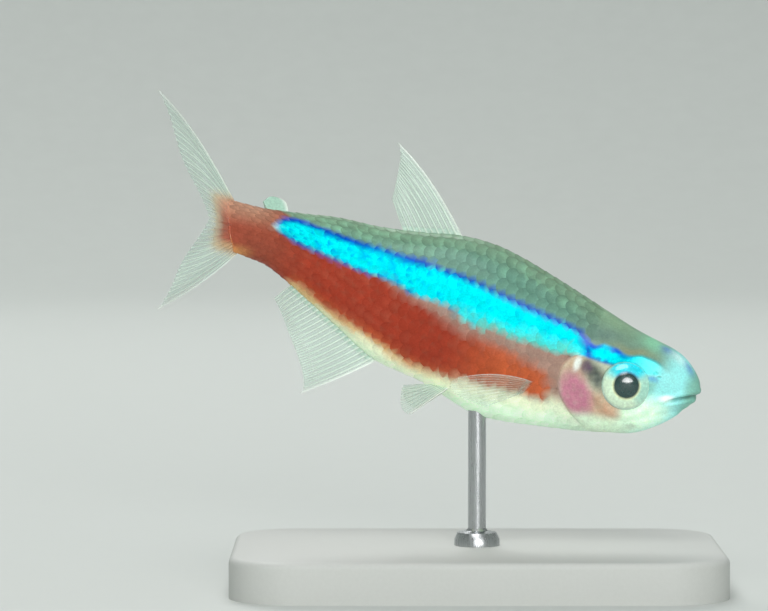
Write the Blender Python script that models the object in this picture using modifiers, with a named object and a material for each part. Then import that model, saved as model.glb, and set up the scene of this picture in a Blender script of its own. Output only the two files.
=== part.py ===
"""Cardinal tetra, life size, as a still model on a plain display stand.

Metres, +Z up. The head points to +X and the right flank to -Y. The origin is the centre of the stand's
underside. The fish is drawn straight, in body lengths: stations back from the snout, sides to its left and
heights above its axis. place() bends that drawing into the swimming pose and sets it over the stand.
"""

import math
from dataclasses import dataclass

import bmesh
import bpy
import numpy as np
from mathutils import Matrix, Vector

# Driving dimensions
LENGTH = 0.032  # snout to tail base
GAP = 0.0003  # between neighbouring pieces
NOSE_DOWN = math.radians(19.5)
HEAD_YAW = math.radians(8.0)  # head turned towards the right flank's side
TAIL_SWING = math.radians(63.0)  # turn of the spine from head to tail base
BEND_START = 0.30
BEND_GROWTH = 2.2
TAIL_ROLL = math.radians(26.0)  # the tail's upper edge turned to the left, away from the bend
ROLL_START = 0.50

# Body, in body lengths
BACK_LINE = (
    (0.0, -0.003), (0.004, 0.009), (0.011, 0.019), (0.030, 0.036), (0.050, 0.048), (0.075, 0.0555),
    (0.105, 0.0595), (0.150, 0.066), (0.240, 0.0865), (0.330, 0.1070), (0.410, 0.1225), (0.460, 0.1275),
    (0.530, 0.1215), (0.600, 0.103), (0.680, 0.086), (0.760, 0.077), (0.840, 0.061), (0.930, 0.049),
    (1.0, 0.050),
)
BELLY_LINE = (
    (0.0, -0.007), (0.004, -0.020), (0.009, -0.034), (0.021, -0.055), (0.043, -0.082), (0.066, -0.103),
    (0.085, -0.1170), (0.105, -0.1270), (0.130, -0.1345), (0.190, -0.1525), (0.270, -0.1710),
    (0.340, -0.1860), (0.385, -0.1910), (0.430, -0.1845), (0.500, -0.1680), (0.610, -0.1565),
    (0.640, -0.1460), (0.690, -0.1240), (0.740, -0.1040), (0.790, -0.0850), (0.840, -0.0660),
    (0.900, -0.0520), (1.0, -0.051),
)
HALF_WIDTH_LINE = (
    (0.0, 0.0), (0.004, 0.013), (0.020, 0.026), (0.050, 0.038), (0.100, 0.051), (0.150, 0.060),
    (0.200, 0.066), (0.300, 0.074), (0.400, 0.077), (0.500, 0.072), (0.600, 0.060), (0.700, 0.046),
    (0.800, 0.034), (0.900, 0.025), (1.0, 0.018),
)
BACK_FULLNESS = 0.95  # power of the section's upper half, 1.0 being an ellipse
BELLY_FULLNESS = 1.08
BODY_END = 0.968
TAIL_LEAN = 0.16  # slope of the tail's end, its top further back
TAIL_LEAN_START = 0.80
RING_POINTS = 36
RINGS = 50
RING_CROWDING = 1.5  # above 1.0 the rings stand closer at the snout
CLEAR_OF_BODY = 0.2  # side that lies well outside the body
SHARP_EDGE = math.radians(40.0)

# Cuts between head, trunk and tail stem: station on the axis, and lean back per height
HEAD_CUT = (0.262, -0.33)
TAIL_CUT = (0.835, 0.10)

# Head, in body lengths
EYE_STATION = 0.134
EYE_HEIGHT = -0.0385
EYE_RADIUS = 0.0475
EYE_HALF_DEPTH = 0.0215
EYE_PROUD = 0.0085
EYE_TOE = math.radians(9.0)  # the eye's plane follows the cheek, which narrows forwards
EYE_SEGMENTS = (32, 14)
MOUTH_FRONT = (0.0, -0.0125)
MOUTH_CORNER = (0.054, -0.043)
MOUTH_SLIT = 0.0050
MOUTH_SLIT_LEAD = 0.03  # how far the slit's cutter starts in front of the snout
LIP_RADIUS = 0.0066
LIP_SPREAD = 0.0080  # centre of a lip above or below the mouth line
LIP_SINK = 0.0033  # depth of a lip's centre line under the skin
LIP_TAPER = 0.55  # loss of a lip's radius and spread at the corner of the mouth
LIP_POINTS = 17
NOSTRIL = (0.083, -0.001)
NOSTRIL_RADIUS = 0.0055
NOSTRIL_FLARE = (0.6, 1.4)  # radius at the bottom and out of the skin, as shares
NOSTRIL_DEPTH = 0.011
NOSTRIL_SEGMENTS = 10
GILL_COVER = (0.203, -0.068)
GILL_COVER_HALF = (0.064, 0.048)
GILL_COVER_PROUD = 0.0028
GILL_COVER_THICK = 0.0135
GILL_PRISM_START = 0.008  # side at which the cutters of the gill covers and orbits start
GILL_SEGMENTS = 36
ORBIT_RADIUS = 0.074  # clear of the gill cover round the eye's centre

# Fins
RAY_THICKNESS = 0.00072
MEMBRANE_SHARE = 0.70  # membrane thickness between two rays, as a share of the ray's
TIP_SHARE = 0.45
TIP_START = 0.62  # share of a ray at which it starts to thin
ROOT_SINK = 0.036  # how far a ray runs on inside the body, in body lengths

# Stand
BASE_SIZE = (0.030, 0.020, 0.0025)
BASE_CORNER = 0.004
BASE_EDGE = 0.0004
BASE_CORNER_SEGMENTS = 6
BASE_EDGE_SEGMENTS = 2
ROD_RADIUS = 0.00055
ROD_STATION = 0.385
ROD_HEIGHT = 0.0080  # from the base's top to the belly
ROD_SPARE = 0.002  # length cut away by the belly
ROD_STEPS = 20
FERRULE_RADIUS = 0.0014
FERRULE_HEIGHT = 0.0009
FERRULE_TOP = 0.85  # radius and height of its shoulder, as shares

MODEL_COLLECTION = "cardinal_tetra"
CUTTER_COLLECTION = "cutters"


@dataclass(frozen=True)
class Finish:
    """Colour, roughness and metallic value of one piece."""

    colour: tuple
    roughness: float
    metallic: float = 0.0


SILVER_HEAD = Finish((0.62, 0.78, 0.74), 0.35)
GILL_PINK = Finish((0.62, 0.30, 0.34), 0.35)
BLUE_FLANK = Finish((0.03, 0.52, 0.78), 0.30)
RED_STEM = Finish((0.55, 0.12, 0.07), 0.40)
DARK_EYE = Finish((0.05, 0.09, 0.10), 0.10)
FIN_WHITE = Finish((0.74, 0.84, 0.76), 0.45)
STAND_GREY = Finish((0.60, 0.60, 0.58), 0.50)
ROD_STEEL = Finish((0.62, 0.63, 0.64), 0.30, 1.0)


@dataclass(frozen=True)
class FinPlan:
    """A fin between its first and last rays, in body lengths.

    Roots are (station, side, height) on the skin, rays are root to tip. A root's height may instead name the
    back or belly line that it lies on. bow lifts the middle of the first ray, fall is how soon the rays shorten, and
    fullness is how much longer the middle rays grow than that, which rounds the fin's outer edge.
    """

    rays: int
    rows: int
    first_root: tuple
    last_root: tuple
    first_ray: tuple
    last_ray: tuple
    bow: tuple = (0.0, 0.0, 0.0)
    fall: float = 1.0
    fullness: float = 0.0
    ridged: bool = True
    sink: float = ROOT_SINK


def smooth_line(points):
    """Smooth function through (x, y) points that doesn't overshoot them."""
    xs, ys = np.array(points).T
    steps = np.diff(xs)
    slopes = np.diff(ys) / steps
    tangents = np.concatenate(([slopes[0]], (slopes[:-1] + slopes[1:]) / 2, [slopes[-1]]))
    tangents[1:-1][slopes[:-1] * slopes[1:] <= 0] = 0.0
    for i, slope in enumerate(slopes):
        tangents[i : i + 2] = np.clip(tangents[i : i + 2], -3 * abs(slope), 3 * abs(slope))

    def at(x):
        i = int(np.clip(np.searchsorted(xs, x) - 1, 0, len(steps) - 1))
        t = min(max((x - xs[i]) / steps[i], 0.0), 1.0)
        start = (1 + 2 * t) * (1 - t) ** 2 * ys[i] + t * (1 - t) ** 2 * steps[i] * tangents[i]
        end = t * t * (3 - 2 * t) * ys[i + 1] + t * t * (t - 1) * steps[i] * tangents[i + 1]
        return float(start + end)

    return at


back_at = smooth_line(BACK_LINE)
belly_at = smooth_line(BELLY_LINE)
half_width_at = smooth_line(HALF_WIDTH_LINE)


def heading(station):
    """Yaw of the spine at a station, positive where it points to the right flank's side."""
    bent = max(0.0, min(station, 1.0) - BEND_START) / (1.0 - BEND_START)
    return HEAD_YAW - TAIL_SWING * bent**BEND_GROWTH


SPINE_STATIONS = np.linspace(-0.10, 1.60, 851)


def spine_track():
    """Place of every spine station in the level plane, from the snout back, in body lengths."""
    yaws = np.array([heading(station) for station in SPINE_STATIONS])
    steps = np.diff(SPINE_STATIONS)

    def total(rates):
        """Running integral of the rates, zero at the snout."""
        run = np.concatenate(([0.0], np.cumsum(steps * (rates[:-1] + rates[1:]) / 2)))
        return run - np.interp(0.0, SPINE_STATIONS, run)

    return total(-np.cos(yaws)), total(np.sin(yaws))


SPINE_X, SPINE_Y = spine_track()


def bend(station, side, height):
    """Point of the straight drawing on the bent, level fish, in metres."""
    x = float(np.interp(station, SPINE_STATIONS, SPINE_X))
    y = float(np.interp(station, SPINE_STATIONS, SPINE_Y))
    yaw = heading(station)
    roll = TAIL_ROLL * min(max((station - ROLL_START) / (BODY_END - ROLL_START), 0.0), 1.0) ** 2
    side, height = (
        side * math.cos(roll) + height * math.sin(roll),
        height * math.cos(roll) - side * math.sin(roll),
    )
    return Vector((x + side * math.sin(yaw), y + side * math.cos(yaw), height)) * LENGTH


def pose():
    """Tilt the fish nose down and set the belly over the rod, which stands on the origin."""
    tilt = Matrix.Rotation(NOSE_DOWN, 4, "Y")
    belly = tilt @ bend(ROD_STATION, 0.0, belly_at(ROD_STATION))
    rod_top = Vector((0.0, 0.0, BASE_SIZE[2] + ROD_HEIGHT))
    return Matrix.Translation(rod_top - belly) @ tilt


POSE = pose()


def place(station, side, height):
    """World point of the straight drawing."""
    return POSE @ bend(station, side, height)


def mix(start, end, share):
    """Point or number a share of the way from start to end."""
    return start + (end - start) * share


def signed_power(value, power):
    """Power of a number that keeps its sign."""
    return math.copysign(abs(value) ** power, value)


def skin_point(station, angle, grow):
    """Drawing point of the skin at an angle round its section: 0 on the left, a quarter turn on the back."""
    reach, fullness = (back_at(station), BACK_FULLNESS)
    if math.sin(angle) < 0.0:
        reach, fullness = (-belly_at(station), BELLY_FULLNESS)
    side = (half_width_at(station) + grow) * signed_power(math.cos(angle), fullness)
    height = (reach + grow) * signed_power(math.sin(angle), fullness)
    leaning = min(max((station - TAIL_LEAN_START) / (BODY_END - TAIL_LEAN_START), 0.0), 1.0)
    return station + TAIL_LEAN * leaning * leaning * height, side, height


def skin_side(station, height):
    """Half width of the body at a station and height."""
    reach, fullness = (back_at(station), BACK_FULLNESS)
    if height < 0.0:
        reach, fullness = (-belly_at(station), BELLY_FULLNESS)
    share = min(abs(height) / reach, 1.0)
    return half_width_at(station) * (1.0 - share ** (2.0 / fullness)) ** (fullness / 2.0)


def body_shell(grow=0.0):
    """Closed skin of the whole body, grown by some metres: a sphere whose rings become the sections."""
    grow = grow / LENGTH
    shell = bmesh.new()
    bmesh.ops.create_uvsphere(shell, u_segments=RING_POINTS, v_segments=RINGS, radius=1.0)
    for vert in shell.verts:
        ring = math.acos(min(max(vert.co.z, -1.0), 1.0)) / math.pi * RINGS
        station = BODY_END * min(ring / (RINGS - 1), 1.0) ** RING_CROWDING
        if ring < 0.5 or ring > RINGS - 0.5:
            middle = (back_at(station) + belly_at(station)) / 2
            point = (station, 0.0, middle if ring < 0.5 else 0.0)
        else:
            point = skin_point(station, math.atan2(vert.co.y, vert.co.x), grow)
        stretch = (point[0] / BODY_END) * 2.0 - 1.0
        vert.co = place(point[0] + stretch * grow, point[1], point[2])
    return shell


def cut_plane(station, lean):
    """Point and forward normal of the plane across the body at a station."""
    middle = place(station, 0.0, 0.0)
    left = place(station, 0.1, 0.0) - middle
    up = place(station + lean * 0.1, 0.0, 0.1) - middle
    return middle, left.cross(up).normalized()


def trim(shell, cut, keep_front):
    """Cut a closed shell across the body, keep one side of the cut and close it with a flat face."""
    middle, forward = cut_plane(*cut)
    side = 1.0 if keep_front else -1.0
    bmesh.ops.bisect_plane(
        shell,
        geom=shell.verts[:] + shell.edges[:] + shell.faces[:],
        dist=1e-8,
        plane_co=middle + forward * side * GAP / 2,
        plane_no=forward * side,
        clear_inner=True,
    )
    bmesh.ops.holes_fill(shell, edges=[edge for edge in shell.edges if edge.is_boundary], sides=0)


def finish_material(name, finish):
    """Principled material of one piece."""
    material = bpy.data.materials.new(name)
    material.use_nodes = True
    shader = material.node_tree.nodes["Principled BSDF"]
    shader.inputs["Base Color"].default_value = (*finish.colour, 1.0)
    shader.inputs["Roughness"].default_value = finish.roughness
    shader.inputs["Metallic"].default_value = finish.metallic
    return material


def add_piece(name, shape, finish=None):
    """Object from a bmesh, in the model's collection, or among the cutters where it has no finish."""
    bmesh.ops.recalc_face_normals(shape, faces=shape.faces[:])
    if shape.calc_volume(signed=True) < 0.0:
        bmesh.ops.reverse_faces(shape, faces=shape.faces[:])
    mesh = bpy.data.meshes.new(name)
    shape.to_mesh(mesh)
    shape.free()
    piece = bpy.data.objects.new(name, mesh)
    if finish is None:
        bpy.data.collections[CUTTER_COLLECTION].objects.link(piece)
        piece.hide_render = True
        piece.display_type = "WIRE"
        return piece
    bpy.data.collections[MODEL_COLLECTION].objects.link(piece)
    mesh.materials.append(finish_material(name, finish))
    mesh.shade_smooth()
    return piece


def add_boolean(piece, other, operation="DIFFERENCE"):
    """Exact Boolean of a piece with another object."""
    boolean = piece.modifiers.new(other.name, "BOOLEAN")
    boolean.operation = operation
    boolean.object = other
    boolean.solver = "EXACT"
    return boolean


def apply_modifiers(piece):
    """Make the shape that the modifiers give the piece's own mesh."""
    graph = bpy.context.evaluated_depsgraph_get()
    shaped = bpy.data.meshes.new_from_object(piece.evaluated_get(graph))
    piece.modifiers.clear()
    plain = piece.data
    piece.data = shaped
    bpy.data.meshes.remove(plain)


def keep_largest(piece):
    """Keep only the largest closed surface of a cut piece, and its sharp edges sharp."""
    shape = bmesh.new()
    shape.from_mesh(piece.data)
    loose = set(shape.verts)
    bodies = []
    while loose:
        body = [loose.pop()]
        for vert in body:
            for edge in vert.link_edges:
                other = edge.other_vert(vert)
                if other in loose:
                    loose.remove(other)
                    body.append(other)
        bodies.append(body)
    bodies.sort(key=len)
    bmesh.ops.delete(shape, geom=[vert for body in bodies[:-1] for vert in body], context="VERTS")
    shape.to_mesh(piece.data)
    shape.free()
    piece.data.shade_smooth()
    piece.data.set_sharp_from_angle(angle=SHARP_EDGE)


def lobe(centre, radii, turn=0.0):
    """Ellipsoid in the drawing: centre and radii as station, side and height, turned about its height."""
    ball = bmesh.new()
    around, tiers = EYE_SEGMENTS
    bmesh.ops.create_uvsphere(ball, u_segments=around, v_segments=tiers, radius=1.0)
    spin = Matrix.Rotation(turn, 3, "Z")
    for vert in ball.verts:
        along, tall, out = vert.co
        offset = spin @ Vector((along * radii[0], out * radii[1], tall * radii[2]))
        vert.co = place(*(Vector(centre) + offset))
    return ball


def eye_lobe(side, grow=0.0):
    """Eyeball of one side, flattened and turned with the cheek."""
    grow = grow / LENGTH
    out = skin_side(EYE_STATION, EYE_HEIGHT) + EYE_PROUD - EYE_HALF_DEPTH
    radii = (EYE_RADIUS + grow, EYE_HALF_DEPTH + grow, EYE_RADIUS + grow)
    return lobe((EYE_STATION, side * out, EYE_HEIGHT), radii, turn=side * EYE_TOE)


def mouth_height(station):
    """Height of the mouth line at a station."""
    share = (station - MOUTH_FRONT[0]) / (MOUTH_CORNER[0] - MOUTH_FRONT[0])
    return mix(MOUTH_FRONT[1], MOUTH_CORNER[1], share)


def mouth_slit():
    """Thin slab that parts the jaws from the snout back to the corners of the mouth."""
    slab = bmesh.new()
    bmesh.ops.create_cube(slab, size=1.0)
    for vert in slab.verts:
        station = mix(-MOUTH_SLIT_LEAD, MOUTH_CORNER[0], vert.co.x + 0.5)
        height = mouth_height(station) + vert.co.z * MOUTH_SLIT
        vert.co = place(station, vert.co.y * 2.0 * CLEAR_OF_BODY, height)
    return slab


def lip_station(side, spread):
    """First station at which the snout is as wide as side, at a height above or below the mouth line."""
    station = 0.0
    while True:
        height = mouth_height(station) + spread
        if belly_at(station) < height < back_at(station) and skin_side(station, height) >= side:
            return station
        station += 0.0002


def lip(name, spread):
    """Rounded lip that follows the mouth line from one corner round the snout to the other."""
    curve = bpy.data.curves.new(name, "CURVE")
    curve.dimensions = "3D"
    curve.bevel_depth = LIP_RADIUS * LENGTH
    curve.bevel_resolution = 2
    curve.use_fill_caps = True
    corner_side = skin_side(MOUTH_CORNER[0], MOUTH_CORNER[1] + spread)
    spline = curve.splines.new("POLY")
    spline.points.add(LIP_POINTS - 1)
    for point, share in zip(spline.points, np.sin(np.linspace(-math.pi / 2, math.pi / 2, LIP_POINTS))):
        point.radius = 1.0 - LIP_TAPER * share**4
        station = lip_station(abs(share) * corner_side, spread)
        height = mouth_height(station) + spread * point.radius
        side = share * (corner_side - LIP_SINK)
        point.co = (*place(station + LIP_SINK * (1.0 - abs(share)), side, height), 1.0)
    rail = bpy.data.objects.new(name, curve)
    bpy.data.collections[CUTTER_COLLECTION].objects.link(rail)
    graph = bpy.context.evaluated_depsgraph_get()
    mesh = bpy.data.meshes.new_from_object(rail.evaluated_get(graph))
    shape = bmesh.new()
    shape.from_mesh(mesh)
    bmesh.ops.remove_doubles(shape, verts=shape.verts[:], dist=1e-7)
    bpy.data.objects.remove(rail)
    return add_piece(name, shape)


def nostril_pit(side):
    """Shallow round pit in front of the eye."""
    pit = bmesh.new()
    bottom, top = (NOSTRIL_RADIUS * share for share in NOSTRIL_FLARE)
    bmesh.ops.create_cone(
        pit, cap_ends=True, segments=NOSTRIL_SEGMENTS, radius1=bottom, radius2=top, depth=1.0
    )
    out = skin_side(*NOSTRIL)
    for vert in pit.verts:
        along, tall, deep = vert.co
        reach = out + (2.0 * deep * NOSTRIL_DEPTH)
        vert.co = place(NOSTRIL[0] + along, side * reach, NOSTRIL[1] + tall)
    return pit


def side_prism(side, centre, half_sizes):
    """Oval prism that runs out sideways from inside the head."""
    prism = bmesh.new()
    bmesh.ops.create_cone(
        prism, cap_ends=True, segments=GILL_SEGMENTS, radius1=1.0, radius2=1.0, depth=1.0
    )
    for vert in prism.verts:
        along, tall, out = vert.co
        station = centre[0] + along * half_sizes[0]
        height = centre[1] + tall * half_sizes[1]
        vert.co = place(station, side * mix(GILL_PRISM_START, CLEAR_OF_BODY, out + 0.5), height)
    return prism


def gill_outline(name, side, margin, finish=None):
    """Prism of a gill cover's outline, an oval cut away round the orbit, grown by a margin in body lengths."""
    half_sizes = [half + margin for half in GILL_COVER_HALF]
    piece = add_piece(name, side_prism(side, GILL_COVER, half_sizes), finish)
    orbit_radius = ORBIT_RADIUS - margin
    orbit = side_prism(side, (EYE_STATION, EYE_HEIGHT), (orbit_radius, orbit_radius))
    add_boolean(piece, add_piece(f"orbit_of_{name}", orbit))
    return piece


def add_gill_covers(head):
    """Gill cover plates, each in a recess of the head that is one gap wider and deeper."""
    surface = add_piece("gill_surface", body_shell(GILL_COVER_PROUD * LENGTH))
    backing = add_piece("gill_backing", body_shell((GILL_COVER_PROUD - GILL_COVER_THICK) * LENGTH))
    floor = add_piece("gill_floor", body_shell((GILL_COVER_PROUD - GILL_COVER_THICK) * LENGTH - GAP))
    for word, side in (("left", 1.0), ("right", -1.0)):
        plate = gill_outline(f"gill_cover_{word}", side, 0.0, GILL_PINK)
        add_boolean(plate, surface, "INTERSECT")
        add_boolean(plate, backing)
        apply_modifiers(plate)
        keep_largest(plate)
        recess = gill_outline(f"gill_recess_{word}", side, GAP / LENGTH)
        add_boolean(recess, floor)
        apply_modifiers(recess)
        add_boolean(head, recess)


def add_head():
    """Head with lips, mouth slit, nostrils, eye sockets and gill recesses, and the eyes and gill covers."""
    shell = body_shell()
    trim(shell, HEAD_CUT, keep_front=True)
    head = add_piece("head", shell, SILVER_HEAD)
    lips = [lip("upper_lip", LIP_SPREAD), lip("lower_lip", -LIP_SPREAD)]
    for piece in lips:
        add_boolean(head, piece, "UNION")
    apply_modifiers(head)
    for piece in lips:
        bpy.data.objects.remove(piece)
    add_boolean(head, add_piece("mouth_slit", mouth_slit()))
    for word, side in (("left", 1.0), ("right", -1.0)):
        add_piece(f"eye_{word}", eye_lobe(side), DARK_EYE)
        add_boolean(head, add_piece(f"eye_socket_{word}", eye_lobe(side, GAP)))
        add_boolean(head, add_piece(f"nostril_{word}", nostril_pit(side)))
    add_gill_covers(head)
    apply_modifiers(head)
    keep_largest(head)


def add_body():
    """Trunk and tail stem."""
    trunk = body_shell()
    trim(trunk, HEAD_CUT, keep_front=False)
    trim(trunk, TAIL_CUT, keep_front=True)
    add_piece("trunk", trunk, BLUE_FLANK).data.set_sharp_from_angle(angle=SHARP_EDGE)
    stem = body_shell()
    trim(stem, TAIL_CUT, keep_front=False)
    add_piece("tail_stem", stem, RED_STEM).data.set_sharp_from_angle(angle=SHARP_EDGE)


def fin_root(root, mirror):
    """Root on the skin as a vector, its height taken from the back or belly line where it names one."""
    station, side, height = root
    edges = {"back": back_at, "belly": belly_at}
    if height in edges:
        height = edges[height](station)
    return Vector((station, side * mirror, height))


def fin_point(plan, across, along, mirror):
    """Drawing point of a fin: across from first to last ray, along from the sunk root to the tip."""
    station = mix(plan.first_root[0], plan.last_root[0], across)
    first, last = fin_root(plan.first_root, mirror), fin_root(plan.last_root, mirror)
    root = mix(first, last, across)
    if isinstance(plan.first_root[2], str):
        root = fin_root((station, 0.0, plan.first_root[2]), mirror)
    ray = mix(Vector(plan.first_ray), Vector(plan.last_ray), across**plan.fall)
    ray *= 1.0 + plan.fullness * math.sin(math.pi * across)
    bow = Vector(plan.bow) * (1.0 - across)
    ray.y *= mirror
    bow.y *= mirror
    reach = along * (ray.length + plan.sink) - plan.sink
    share = reach / ray.length
    return root + ray * share + bow * 4.0 * max(share, 0.0) * (1.0 - share)


def add_fin(name, plan, body_cutter, mirror=1.0):
    """Fin sheet with its rays raised on both faces, cut off one gap above the skin."""
    columns = 2 * (plan.rays - 1)
    sheet = bmesh.new()
    bmesh.ops.create_grid(sheet, x_segments=columns, y_segments=plan.rows, size=0.5)
    ridge = sheet.verts.layers.deform.verify()
    for vert in sheet.verts:
        across, along = (min(max(value + 0.5, 0.0), 1.0) for value in vert.co[:2])
        between_rays = plan.ridged and round(across * columns) % 2 == 1
        thinning = max(along - TIP_START, 0.0) / (1.0 - TIP_START)
        vert[ridge][0] = (MEMBRANE_SHARE if between_rays else 1.0) * mix(1.0, TIP_SHARE, thinning)
        vert.co = place(*fin_point(plan, across, along, mirror))
    bmesh.ops.triangulate(sheet, faces=sheet.faces[:])
    fin = add_piece(name, sheet, FIN_WHITE)
    fin.vertex_groups.new(name="ridge")
    walls = fin.modifiers.new("walls", "SOLIDIFY")
    walls.thickness = RAY_THICKNESS
    walls.offset = 0.0
    walls.vertex_group = "ridge"
    add_boolean(fin, body_cutter)
    apply_modifiers(fin)
    keep_largest(fin)


DORSAL = FinPlan(
    9, 6, (0.527, 0.0, "back"), (0.637, 0.0, "back"), (0.173, 0.0, 0.128), (0.040, 0.0, 0.050),
    bow=(0.0, 0.0, 0.011), fall=0.85,
)
ADIPOSE = FinPlan(
    4, 4, (0.860, 0.0, "back"), (0.904, 0.0, "back"), (0.019, 0.0, 0.020), (0.008, 0.0, 0.013),
    bow=(-0.002, 0.0, 0.006), fullness=0.34, ridged=False, sink=0.020,
)
ANAL = FinPlan(
    13, 5, (0.602, 0.0, "belly"), (0.815, 0.0, "belly"), (0.125, 0.0, -0.106), (0.035, 0.0, -0.035),
    bow=(0.0, 0.0, -0.006), fall=0.65,
)
CAUDAL_UPPER = FinPlan(
    8, 7, (0.975, 0.0, 0.042), (0.966, 0.0, 0.0060), (0.240, 0.0, 0.174), (0.100, 0.0, -0.002),
    bow=(0.0, 0.0, 0.025), sink=0.026,
)
CAUDAL_LOWER = FinPlan(
    8, 7, (0.960, 0.0, -0.042), (0.966, 0.0, -0.0060), (0.248, 0.020, -0.148), (0.100, 0.0, -0.010),
    bow=(0.0, 0.0, -0.010), sink=0.026,
)
PECTORAL = FinPlan(
    7, 5, (0.306, 0.062, -0.092), (0.318, 0.056, -0.122), (0.132, 0.048, -0.040), (0.050, 0.020, -0.045),
    bow=(0.0, 0.004, 0.010), fall=1.3, fullness=0.24,
)
PELVIC = FinPlan(
    6, 5, (0.452, 0.030, -0.160), (0.478, 0.012, -0.162), (0.050, 0.080, -0.066), (0.060, 0.036, -0.026),
    fall=1.3, fullness=0.14,
)


def add_fins():
    """All fins, each cut by the body grown by one gap."""
    cutter = add_piece("fin_clearance", body_shell(GAP))
    add_fin("dorsal_fin", DORSAL, cutter)
    add_fin("adipose_fin", ADIPOSE, cutter)
    add_fin("anal_fin", ANAL, cutter)
    add_fin("caudal_fin_upper", CAUDAL_UPPER, cutter)
    add_fin("caudal_fin_lower", CAUDAL_LOWER, cutter)
    for word, mirror in (("left", 1.0), ("right", -1.0)):
        add_fin(f"pectoral_fin_{word}", PECTORAL, cutter, mirror)
        add_fin(f"pelvic_fin_{word}", PELVIC, cutter, mirror)
    return cutter


def add_base():
    """Flat base with rounded corners and a softened upper edge, resting on the floor."""
    long, wide, thick = BASE_SIZE
    slab = bmesh.new()
    bmesh.ops.create_cube(slab, size=1.0)
    bmesh.ops.scale(slab, vec=BASE_SIZE, verts=slab.verts[:])
    bmesh.ops.translate(slab, vec=(0.0, 0.0, thick / 2), verts=slab.verts[:])
    upright = [edge for edge in slab.edges if abs(edge.verts[0].co.z - edge.verts[1].co.z) > thick / 2]
    bmesh.ops.bevel(
        slab, geom=upright, offset=BASE_CORNER, segments=BASE_CORNER_SEGMENTS, profile=0.5,
        affect="EDGES", material=-1,
    )
    rim = [edge for edge in slab.edges if min(vert.co.z for vert in edge.verts) > thick / 2]
    bmesh.ops.bevel(
        slab, geom=rim, offset=BASE_EDGE, segments=BASE_EDGE_SEGMENTS, profile=0.5,
        affect="EDGES", material=-1,
    )
    base = add_piece("stand_base", slab, STAND_GREY)
    base.data.set_sharp_from_angle(angle=SHARP_EDGE)


def add_rod(body_cutter):
    """Turned rod with a small ferrule at its foot, cut off one gap under the belly."""
    foot = BASE_SIZE[2] + GAP
    top = BASE_SIZE[2] + ROD_HEIGHT + ROD_SPARE
    shoulder = (FERRULE_RADIUS * FERRULE_TOP, foot + FERRULE_HEIGHT * FERRULE_TOP)
    profile = (
        (0.0, top), (ROD_RADIUS, top), (ROD_RADIUS, foot + FERRULE_HEIGHT),
        shoulder, (FERRULE_RADIUS, foot), (0.0, foot),
    )
    shape = bmesh.new()
    verts = [shape.verts.new((x, 0.0, z)) for x, z in profile]
    for start, end in zip(verts, verts[1:]):
        shape.edges.new((start, end))
    rod = add_piece("stand_rod", shape, ROD_STEEL)
    turn = rod.modifiers.new("turn", "SCREW")
    turn.steps = turn.render_steps = ROD_STEPS
    turn.use_merge_vertices = True
    turn.merge_threshold = 1e-6
    add_boolean(rod, body_cutter)
    apply_modifiers(rod)
    keep_largest(rod)


def main():
    """Build the fish and its stand in an empty scene."""
    for old in list(bpy.data.objects):
        bpy.data.objects.remove(old)
    for name in (MODEL_COLLECTION, CUTTER_COLLECTION):
        bpy.context.scene.collection.children.link(bpy.data.collections.new(name))
    add_head()
    add_body()
    body_cutter = add_fins()
    add_base()
    add_rod(body_cutter)


main()
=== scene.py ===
"""Looks of the cardinal tetra on its display stand: skin, scales, eyes, fins, stand, light and camera.

Everything of the fish is drawn straight, in body lengths: stations back from the snout, sides to its left and
heights above its axis, as in the part's solids. BodyForm.place() bends that drawing into the swimming pose.
Girth runs round a section, from 0 on the back to 1 on the belly down the right flank and to -1 down the left.
"""

from __future__ import annotations

import logging
import math
from dataclasses import dataclass
from enum import Enum
from functools import cached_property

import bmesh
import bpy
import numpy as np
from mathutils import Matrix, Vector

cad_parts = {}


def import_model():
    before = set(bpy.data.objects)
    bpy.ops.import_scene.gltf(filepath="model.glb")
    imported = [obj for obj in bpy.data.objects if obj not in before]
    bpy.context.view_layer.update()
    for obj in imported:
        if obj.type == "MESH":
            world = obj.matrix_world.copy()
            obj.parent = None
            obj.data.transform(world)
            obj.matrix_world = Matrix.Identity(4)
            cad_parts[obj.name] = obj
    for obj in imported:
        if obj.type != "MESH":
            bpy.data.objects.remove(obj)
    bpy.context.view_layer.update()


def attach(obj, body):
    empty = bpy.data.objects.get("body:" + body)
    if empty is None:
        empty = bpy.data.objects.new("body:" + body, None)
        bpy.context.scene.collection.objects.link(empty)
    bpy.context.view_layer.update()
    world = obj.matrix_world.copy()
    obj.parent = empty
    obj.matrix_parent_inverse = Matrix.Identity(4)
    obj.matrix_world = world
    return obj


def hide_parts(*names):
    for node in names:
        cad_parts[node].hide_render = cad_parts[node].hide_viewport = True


log = logging.getLogger("cardinal_tetra")

Array = np.ndarray
Colour = tuple[float, float, float]
MERGE_DISTANCE = 1e-6


def linear(part: int) -> float:
    """Linear share of one 8-bit display value, by the sRGB standard's curve."""
    return ((part / 255 + 0.055) / 1.055) ** 2.4 if part > 10 else part / 3295


def srgb(red: int, green: int, blue: int) -> Colour:
    """Linear colour of an 8-bit display colour."""
    return linear(red), linear(green), linear(blue)


def mix(start: Array, end: Array, share: Array) -> Array:
    """Value a share of the way from start to end."""
    return start + (end - start) * share


def ease(low: float, high: float, value: Array) -> Array:
    """Smooth step from 0 at low to 1 at high."""
    share = np.clip((value - low) / (high - low), 0.0, 1.0)
    return share * share * (3.0 - 2.0 * share)


def hump(value: Array, width: float) -> Array:
    """Bell of height 1 at 0, with the width at which it has fallen to about a third."""
    return np.exp(-((value / width) ** 2))


def signed_power(value: Array, power: Array) -> Array:
    """Power of a number that keeps its sign."""
    return np.sign(value) * np.abs(value) ** power


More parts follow.
